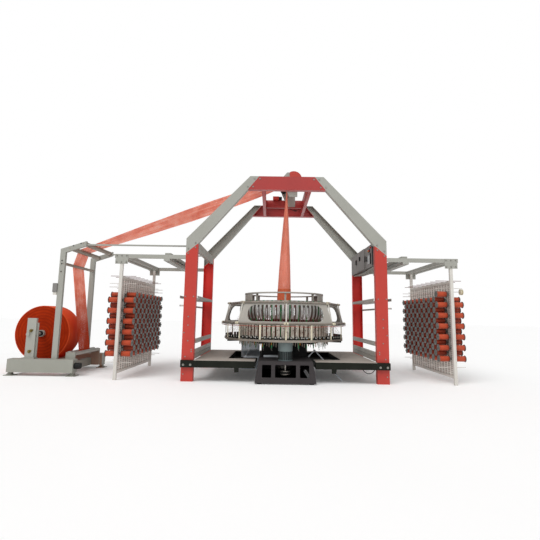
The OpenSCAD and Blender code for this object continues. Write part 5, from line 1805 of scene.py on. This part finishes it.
@dataclass
class Cloth:
    """Woven tube, flat web and wound roll."""

    tube_r: float = FORMER_R
    flat_w: float = 2 * cad_end("fabric_tube", Axis.Y)
    tube_low: float = 1.3006
    tube_high: float = cad_end("fabric_tube", Axis.Z)
    tube_squares: tuple[int, int] = (56, 60)
    nip_x: float = 0.035
    web_half: float = 0.0018
    power: float = 1.4
    fold_depth: float = 0.02
    fold_count: int = 9
    fold_twist: float = 2.0
    fold_reach: float = 1.2
    cuff_share: float = 0.12
    cuff_rise: float = 0.003
    cuff_squares: int = 8
    tilt: float = 20.0
    tilt_power: float = 0.7
    pad: float = 0.0024
    web_squares: int = 12
    web_step: float = 0.07
    bend_steps: int = 8
    ripple: float = 0.004
    ripple_across: float = 14.0
    ripple_along: float = 2.2
    ripple_lean: float = 0.02
    roll_r: float = cad_end("fabric_roll", Axis.X) - ROLL_AXIS[0]
    core_r: float = 0.0606
    roll_layers: int = 26
    layer_depth: float = 0.0035
    end_drop: float = 0.004
    rim: tuple[Spot, ...] = ((0.004, 0.006), (0.0, 0.016))
    rim_start: float = 0.012
    wander: float = 0.008
    wander_scale: Triple = (9.0, 2.0, 9.0)
    wander_core_gap: float = 0.01
    wander_rim_gap: float = 0.02
    # Each turn of the web is a roller's X and Z, its radius and the way that the web bends round it.
    turns: tuple[tuple[float, float, float, int], ...] = (
        (-0.0224, 3.6, 0.055, 1),
        (-3.58, 2.29, 0.04, 1),
        (-3.81, 2.2, 0.04, 1),
        (-3.905, 1.925, 0.025, 1),
        (-3.74, 0.36, 0.045, -1),
        (ROLL_AXIS[0], ROLL_AXIS[2], 0.5, -1),
    )

    def build(self) -> None:
        """Makes the tube, its close-woven start, the web and the roll."""
        self._tube()
        self._web()
        self._roll()

    def _tube_point(self, u: float, t: float, rise: float = 0.0) -> Vector:
        """Gives a point of the woven tube.

        Args:
            u: Share of the way round.
            t: Share of the way up.
            rise: How far outside the tube's own surface it lies.

        Returns:
            The place of the point.
        """
        a = TURN * u
        deep = max(self.tube_r * (1 - t**self.power), self.web_half) + rise
        wide = self.tube_r + (self.flat_w / 2 - self.tube_r) * t + rise
        folds = math.sin(self.fold_count * a + self.fold_twist * t)
        fold = 1 + self.fold_depth * folds * math.sin(math.pi * min(1.0, self.fold_reach * t))
        z = self.tube_low + (self.tube_high - self.tube_low) * t
        return Vector((self.nip_x * t + deep * math.cos(a) * fold, wide * math.sin(a), z))

    def _tube(self) -> None:
        """Makes the woven tube and the close-woven cuff at its foot."""
        size = (2 * self.flat_w, self.tube_high - self.tube_low)
        work = cloth_grid("woven_tube", self.tube_squares, self._tube_point, size, True)
        tube = work.done(Finishes.NET, slot="mesh_orange", smooth=60.0)
        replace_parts(tube, "fabric_tube")
        size = (size[0], size[1] * self.cuff_share)
        squares = (self.tube_squares[0], self.cuff_squares)

        def place(u: float, t: float) -> Vector:
            """Gives a point of the cuff from its shares round and up."""
            return self._tube_point(u, self.cuff_share * t, self.cuff_rise)

        work = cloth_grid("woven_cuff", squares, place, size, True)
        cuff = work.done(Finishes.CUFF, slot="mesh_orange", smooth=60.0)

    def _touch(self, i: int, heading: float) -> Spot:
        """Gives the place where the web touches a roller.

        Args:
            i: The roller's number.
            heading: Where the web goes there, in radians.

        Returns:
            Place in X and Z.
        """
        x, z, r, sense = self.turns[i]
        reach = (r + self.pad) * sense
        return (x + reach * math.sin(heading), z - reach * math.cos(heading))

    def _headings(self) -> list[float]:
        """Gives where the web goes between its rollers.

        Returns:
            The heading of each straight run, in radians.
        """
        headings = []
        for (x, z, r, sense), (x2, z2, r2, sense2) in zip(self.turns, self.turns[1:]):
            gap = math.hypot(x2 - x, z2 - z)
            swing = math.asin(((r + self.pad) * sense - (r2 + self.pad) * sense2) / gap)
            raw = math.atan2(z2 - z, x2 - x) + swing
            headings.append(raw + TURN if raw < 0 else raw)
        return headings

    def _stations(self) -> list[tuple[float, float, float, float]]:
        """Gives the stations along the web.

        Returns:
            Place in X and Z, heading and tilt of each, in radians.
        """
        headings = self._headings()
        made = [(self.nip_x, self.tube_high, math.pi / 2, 0.0)]
        for i, out in enumerate(headings):
            into = math.pi / 2 if i == 0 else headings[i - 1]
            for k in range(self.bend_steps + 1):
                turn = into + (out - into) * k / self.bend_steps
                made.append((*self._touch(i, turn), turn, 0.0))
            (x, z), (x2, z2) = self._touch(i, out), self._touch(i + 1, out)
            pieces = max(2, int(math.hypot(x2 - x, z2 - z) / self.web_step))
            tilt = math.radians(self.tilt) if i == 0 else 0.0
            for k in range(1, pieces):
                t = k / pieces
                lean = tilt * math.sin(math.pi * t**self.tilt_power)
                made.append((x + (x2 - x) * t, z + (z2 - z) * t, out, lean))
        made.append((*self._touch(len(self.turns) - 1, headings[-1]), headings[-1], 0.0))
        return made

    def _web(self) -> None:
        """Makes the flat web from the nip to the roll."""
        stations = self._stations()
        runs = [0.0]
        for a, b in zip(stations, stations[1:]):
            runs.append(runs[-1] + math.hypot(b[0] - a[0], b[1] - a[1]))
        last = len(stations) - 1

        def place(u: float, t: float) -> Vector:
            """Gives a point of the web.

            Args:
                u: Share of the way across.
                t: Share of the stations passed.

            Returns:
                The place of the point.
            """
            x, z, heading, lean = stations[round(t * last)]
            across = (u - 0.5) * self.flat_w
            spot = Vector((across * self.ripple_across, runs[round(t * last)] * self.ripple_along, 0.0))
            ripple = self.ripple * noise.noise(spot) * (lean > self.ripple_lean)
            z -= across * math.sin(lean) + math.cos(heading) * ripple
            return Vector((x + math.sin(heading) * ripple, across * math.cos(lean), z))

        work = cloth_grid("flat_web", (self.web_squares, last), place, (self.flat_w, 1.0))
        layer = work.mesh.loops.layers.uv["flat_cut"]
        for face in work.mesh.faces:
            for loop in face.loops:
                loop[layer].uv.y = runs[round(loop[layer].uv.y * last)]
        web = work.done(Finishes.WEB, slot="mesh_orange", smooth=60.0)
        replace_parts(web, "fabric_web")

    def _roll(self) -> None:
        """Winds the roll, with the wavy edges of its layers at both ends."""
        half = self.flat_w / 2
        face = []
        for i in range(self.roll_layers + 1):
            r = self.core_r + (self.roll_r - self.rim_start - self.core_r) * i / self.roll_layers
            face.append((r, half - self.end_drop + self.layer_depth * (1 if i % 2 else -1)))
        face += [(self.roll_r - inwards, half - back) for inwards, back in self.rim]
        profile = [(r, -h) for r, h in face] + face[::-1]
        middle = Vector(ROLL_AXIS)
        work = Work("net_roll").turned(profile, turned_to(middle, (0, 1, 0)), 72)
        for point in work.mesh.verts:
            spoke = point.co - middle
            radius = math.hypot(spoke.x, spoke.z)
            if self.core_r + self.wander_core_gap < radius < self.roll_r - self.wander_rim_gap:
                spot = Vector([part * scale for part, scale in zip(spoke, self.wander_scale)])
                share = 1 + self.wander * noise.noise(spot) / radius
                point.co.x = middle.x + spoke.x * share
                point.co.z = middle.z + spoke.z * share
        roll = work.done(Finishes.ROLL, "roll", "mesh_orange", 50.0)
        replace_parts(roll, "fabric_roll")


@dataclass
class Creels:
    """Yarn packages and small parts of both creels."""

    x: float = 2.75
    columns: int = 16
    rows: int = 6
    column_pitch: float = 0.102
    row_pitch: float = 0.177
    first_z: float = 0.41
    start: float = 0.048
    length: float = 0.165
    radius: float = 0.0455
    hole: float = 0.0084
    end_play: float = 0.0005
    shoulder: float = 0.006
    shoulder_drop: float = 0.005
    belly: float = 0.001
    boss_r: float = 0.012
    boss_back: float = -0.044
    flange_r: float = 0.053
    flange_back: float = -0.0045
    flange_front: float = -0.0006
    panel_half: float = 0.845
    bar_half: float = 0.0293
    strip_half: float = 0.001
    strip_low: float = 0.141
    strip_top: float = 1.649
    spindle_r: float = 0.0075
    spindle_gap: float = 0.004
    spindle_past: float = 0.03
    spare_flanges: Spot = (-0.007, 0.001)
    spare_flange_r: float = 0.054
    spare_flange_t: float = 0.006
    bobbin_out: float = 0.19
    bobbin_z: float = 1.51
    bobbin_profile: tuple[Spot, ...] = (
        (0.005, 0.0), (0.05, 0.0), (0.05, 0.006), (0.024, 0.01),
        (0.024, 0.026), (0.05, 0.03), (0.05, 0.035), (0.005, 0.035),
    )
    bracket_face_y: float = cad_end("creel_beams", Axis.Y)
    bracket_bolts_x: Triple = (2.67, 2.75, 2.83)
    bracket_bolts_z: Spot = (1.92, 2.03)
    bracket_bolt_r: float = 0.009

    def build(self) -> None:
        """Makes the packages, the odd ones and the bolts."""
        self._packages()
        self._flanges()
        self._screens()
        self._spare()
        self._bolts()

    def _column_y(self, j: int) -> float:
        """Gives the place of a column of spindles."""
        return (j - (self.columns - 1) / 2) * self.column_pitch

    def _spots(self) -> list[Matrix]:
        """Gives the foot of every package, with Z along its spindle.

        Returns:
            A place for each package.
        """
        made = []
        for creel in SIDES:
            for j in range(self.columns):
                for i in range(self.rows):
                    z = self.first_z + i * self.row_pitch + (j % 2) * self.row_pitch / 2
                    for side in SIDES:
                        out = Vector((float(side), 0.0, 0.0))
                        foot = Vector((creel * self.x, self._column_y(j), z))
                        made.append(turned_to(foot + out * self.start, out))
        return made

    def _profile(self) -> list[Spot]:
        """Gives a package's outline.

        Returns:
            Radius and height of each corner.
        """
        rim = self.radius - self.shoulder_drop
        low, top = self.end_play, self.length - self.end_play
        return [
            (self.hole, low),
            (rim, low),
            (self.radius, self.shoulder),
            (self.radius + self.belly, self.length / 2),
            (self.radius, self.length - self.shoulder),
            (rim, top),
            (self.hole, top),
        ]

    def _packages(self) -> None:
        """Winds a package on every spindle."""
        work = Work("wound_packages").stamp(lathe(self._profile(), 14), self._spots())
        packages = work.done(Finishes.YARN, slot="yarn_orange", smooth=50.0)
        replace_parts(packages, "yarn_packages")

    def _flanges(self) -> None:
        """Sets the inner flange and its boss behind every package."""
        profile = [
            (self.hole, self.boss_back),
            (self.boss_r, self.boss_back),
            (self.boss_r, self.flange_back),
            (self.flange_r, self.flange_back),
            (self.flange_r, self.flange_front),
        ]
        work = Work("inner_flanges").stamp(lathe(profile, 12), self._spots())
        work.done(Finishes.GREY_PLASTIC, slot="spindle_grey", smooth=50.0)

    def _screens(self) -> None:
        """Closes the gaps between the punched bars with thin strips."""
        work = Work("panel_strips")
        edges = [-self.panel_half]
        for j in range(self.columns):
            edges += [self._column_y(j) - self.bar_half, self._column_y(j) + self.bar_half]
        edges.append(self.panel_half)
        for creel in SIDES:
            near, far = creel * self.x - self.strip_half, creel * self.x + self.strip_half
            for low, high in zip(edges[::2], edges[1::2]):
                work.box((near, low, self.strip_low), (far, high, self.strip_top))
        work.done(Finishes.SCREEN, slot="light_grey_paint")

    def _spare(self) -> None:
        """Adds the one package above the others and the white bobbin on a bare spindle."""
        y = self._column_y(0)
        foot = Vector((self.x, y, self.first_z + self.rows * self.row_pitch))
        out = Vector((-1.0, 0.0, 0.0))
        work = Work("spare_package").turned(self._profile(), turned_to(foot + out * self.start, out), 20)
        work.done(Finishes.YARN, slot="yarn_orange", smooth=50.0)
        work = Work("spare_spindle")
        end = self.start + self.length
        work.rod(foot + out * self.spindle_gap, foot + out * (end + self.spindle_past), self.spindle_r, 10)
        for along in (self.start + self.spare_flanges[0], end + self.spare_flanges[1]):
            ends = (foot + out * along, foot + out * (along + self.spare_flange_t))
            work.rod(*ends, self.spare_flange_r, 24)
        work.done(Finishes.GREY_PLASTIC, slot="spindle_grey")
        place = turned_to((self.x + self.bobbin_out, y, self.bobbin_z), (1, 0, 0))
        work = Work("white_bobbin").turned(self.bobbin_profile, place, 16)
        work.done(Finishes.CREAM, slot="white_plastic")

    def _bolts(self) -> None:
        """Bolts the bracket plates."""
        work = Work("creel_bolts")
        for creel in SIDES:
            for face in SIDES:
                out = (0.0, float(face), 0.0)
                for x in self.bracket_bolts_x:
                    for z in self.bracket_bolts_z:
                        work.bolt((creel * x, face * self.bracket_face_y, z), out, self.bracket_bolt_r)
        work.done(Finishes.BOLT, slot="steel")


@dataclass
class Winder:
    """Small parts of the winder."""

    face_y: float = cad_end("winder_frame", Axis.Y)
    post_bolts: tuple[Spot, ...] = (
        (-3.93, 1.977), (-3.93, 1.922), (-3.93, 1.782), (-3.62, 2.29), (-3.75, 2.245),
    )
    post_bolt_r: float = 0.007
    foot_y: float = 0.545
    foot_top: float = 0.012
    feet: Spot = (-4.655, -3.60)
    foot_step: float = 0.052
    anchor_r: float = 0.011
    stand_face_y: float = 0.565
    stand_bolts_z: Spot = (0.40, 0.75)
    # Each stand bolt has its X, its rise and its radius.
    stand_bolts: tuple[Triple, ...] = ((-4.36, 0.0, 0.018), (-4.335, 0.012, 0.009))
    collar_hole_r: float = 0.031
    collar_half: float = 0.017
    collar: Spot = (0.047, 0.262)
    sleeve: Spot = (0.057, 0.226)
    bearing: Bar = ((-3.86, 0.503, 2.216), (-3.86, 0.5195, 2.216), 0.028, 18)
    switch_foot: Slab = ((-4.036, -0.583, 1.375), (-3.972, -0.527, 1.4195), 0.004)

    def build(self) -> None:
        """Makes the bolts, collars and the lower half of the switch box."""
        self._bolts()
        self._collars()
        Work("switch_box_foot").box(*self.switch_foot).done(Finishes.WHITE, slot="white_plastic")

    def _bolts(self) -> None:
        """Bolts the posts, the arms and the feet."""
        work, anchors, brass = Work("winder_bolts"), Work("winder_anchors"), Work("stand_bolts")
        for face in SIDES:
            out = (0.0, float(face), 0.0)
            for x, z in self.post_bolts:
                work.bolt((x, face * self.face_y, z), out, self.post_bolt_r)
            for x in self.feet:
                for step in SIDES:
                    spot = (x + step * self.foot_step, face * self.foot_y, self.foot_top)
                    anchors.bolt(spot, (0, 0, 1), self.anchor_r)
            for z in self.stand_bolts_z:
                for x, rise, radius in self.stand_bolts:
                    brass.bolt((x, face * self.stand_face_y, z + rise), out, radius)
        work.done(Finishes.BLACK, slot="black_plastic")
        anchors.done(Finishes.BOLT, slot="steel")
        brass.done(Finishes.BRASS, slot="steel")

    def _collars(self) -> None:
        """Puts collars and core sleeves on the winding shaft and a bearing at the far end of roller b."""
        collars, sleeves = Work("shaft_collars"), Work("core_sleeves")
        x, _, z = ROLL_AXIS
        hole, half = self.collar_hole_r, self.collar_half
        for face in SIDES:
            for work, (radius, middle) in ((collars, self.collar), (sleeves, self.sleeve)):
                profile = [(hole, -half), (radius, -half), (radius, half), (hole, half)]
                work.turned(profile, turned_to((x, face * middle, z), (0, 1, 0)), 32)
        collars.done(Finishes.BLACK, "roll", "black_plastic")
        sleeves.done(Finishes.WHITE, "roll", "white_plastic")
        Work("roller_bearing").rod(*self.bearing).done(Finishes.BLACK, slot="black_plastic")


@dataclass
class Cabinet:
    """Handles, screen, lamps and conduits of the control cabinet."""

    door_x: float = cad_end("cabinet_door_mid", Axis.X, high=False)
    panel_x: float = cad_end("control_cabinet", Axis.X, high=False)
    handle_depth: float = 0.02
    handle_half: float = 0.018
    handle_edge: float = 0.005
    # Each handle has its door's short name, its place in Y, its foot and its top.
    handles: tuple[tuple[str, float, float, float], ...] = (
        ("back", 0.345, 2.1, 2.2),
        ("mid", 0.06, 2.14, 2.225),
    )
    # Each bar beside the screen has its place in Y, its foot and its top.
    side_bars: tuple[Triple, ...] = ((-0.27, 2.07, 2.18), (-0.4, 2.06, 2.15), (-0.635, 1.99, 2.18))
    side_bar_depth: float = 0.012
    side_bar_half: float = 0.014
    side_bar_edge: float = 0.003
    end_panel: Slab = ((1.475, -0.79, 1.95), (1.479, -0.73, 2.32), 0.001)
    lamp_panel: Slab = ((1.473, -0.6, 2.205), (1.479, -0.5, 2.255), 0.002)
    glass: Slab = ((1.473, -0.607, 2.0), (1.479, -0.427, 2.155), 0.002)
    lamp_z: float = 2.23
    lamp_r: float = 0.016
    lamp_foot: float = 0.005
    lamp_tip: float = 0.022
    amber_y: float = -0.53
    red_y: float = -0.575
    conduit_count: int = 5
    conduit_x: float = 1.51
    conduit_pitch: float = 0.035
    conduit_r: float = 0.011
    conduit_stagger: float = 0.05
    # Each point of a conduit has its step in X, its place in Y and its height.
    conduit_path: tuple[Triple, ...] = (
        (0.0, 0.78, 1.93), (0.0, 0.6, 1.915), (0.01, 0.0, 1.9), (0.0, -0.6, 1.915), (0.0, -0.78, 1.93),
    )

    def build(self) -> None:
        """Makes what the operator touches and reads, and the conduits under the box."""
        self._handles()
        self._screen()
        self._lamp("amber_lamp", self.amber_y, Finishes.AMBER, "cabinet_grey")
        self._lamp("red_lamp", self.red_y, Finishes.STOP, "stop_red")
        self._conduits()

    def _handles(self) -> None:
        """Puts a handle on each door."""
        x, half = self.door_x, self.handle_half
        for name, y, low, high in self.handles:
            work = Work(f"{name}_door_handle")
            work.box((x - self.handle_depth, y - half, low), (x, y + half, high), self.handle_edge)
            work.done(Finishes.BLACK, f"door_{name}", "black_plastic")

    def _screen(self) -> None:
        """Frames the screen and sets its glass."""
        work, x, half = Work("screen_frame"), self.panel_x, self.side_bar_half
        for y, low, high in self.side_bars:
            near, far = (x - self.side_bar_depth, y - half, low), (x, y + half, high)
            work.box(near, far, self.side_bar_edge)
        work.box(*self.end_panel)
        work.box(*self.lamp_panel)
        work.done(Finishes.BLACK, slot="black_plastic")
        Work("screen_glass").box(*self.glass).done(Finishes.GLASS, slot="cabinet_grey")

    def _lamp(self, name: str, y: float, finish: Finish, slot: str) -> None:
        """Sets a round lamp above the screen.

        Args:
            name: The lamp's name.
            y: Its place along the cabinet.
            finish: Its finish.
            slot: The record's material slot, handed on to the piece's making.
        """
        ends = [(self.panel_x - out, y, self.lamp_z) for out in (self.lamp_foot, self.lamp_tip)]
        Work(name).rod(*ends, self.lamp_r, 14).done(finish, slot=slot)

    def _conduits(self) -> None:
        """Runs grey conduits under the cabinet from the back post to the front one."""
        work = Work("cabinet_conduits")
        for k in range(self.conduit_count):
            x = self.conduit_x + self.conduit_pitch * k
            path = [Vector((x + step, y, z)) for step, y, z in self.conduit_path]
            path[0].y -= self.conduit_stagger * k
            work.tube(path, self.conduit_r, 8)
        work.done(Finishes.GREY, slot="cabinet_grey")


def dress_frame() -> None:
    """Gives every CAD node its finish."""
    for finish, names in FINISHED_NODES.items():
        for name in names:
            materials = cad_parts[name].data.materials
            materials.clear()
            materials.append(finish.material())
            LOG.info("%s: %s", name, finish.name)


def main() -> None:
    """Builds the studio and the dressed machine in order."""
    logging.basicConfig(level=logging.INFO, format="%(message)s")
    Studio().build()
    dress_frame()
    gantry = Gantry()
    gantry.cable()
    for assembly in (gantry, LoomHead(), Cloth(), Creels(), Winder(), Cabinet()):
        assembly.build()


if __name__ == "__main__":
    main()
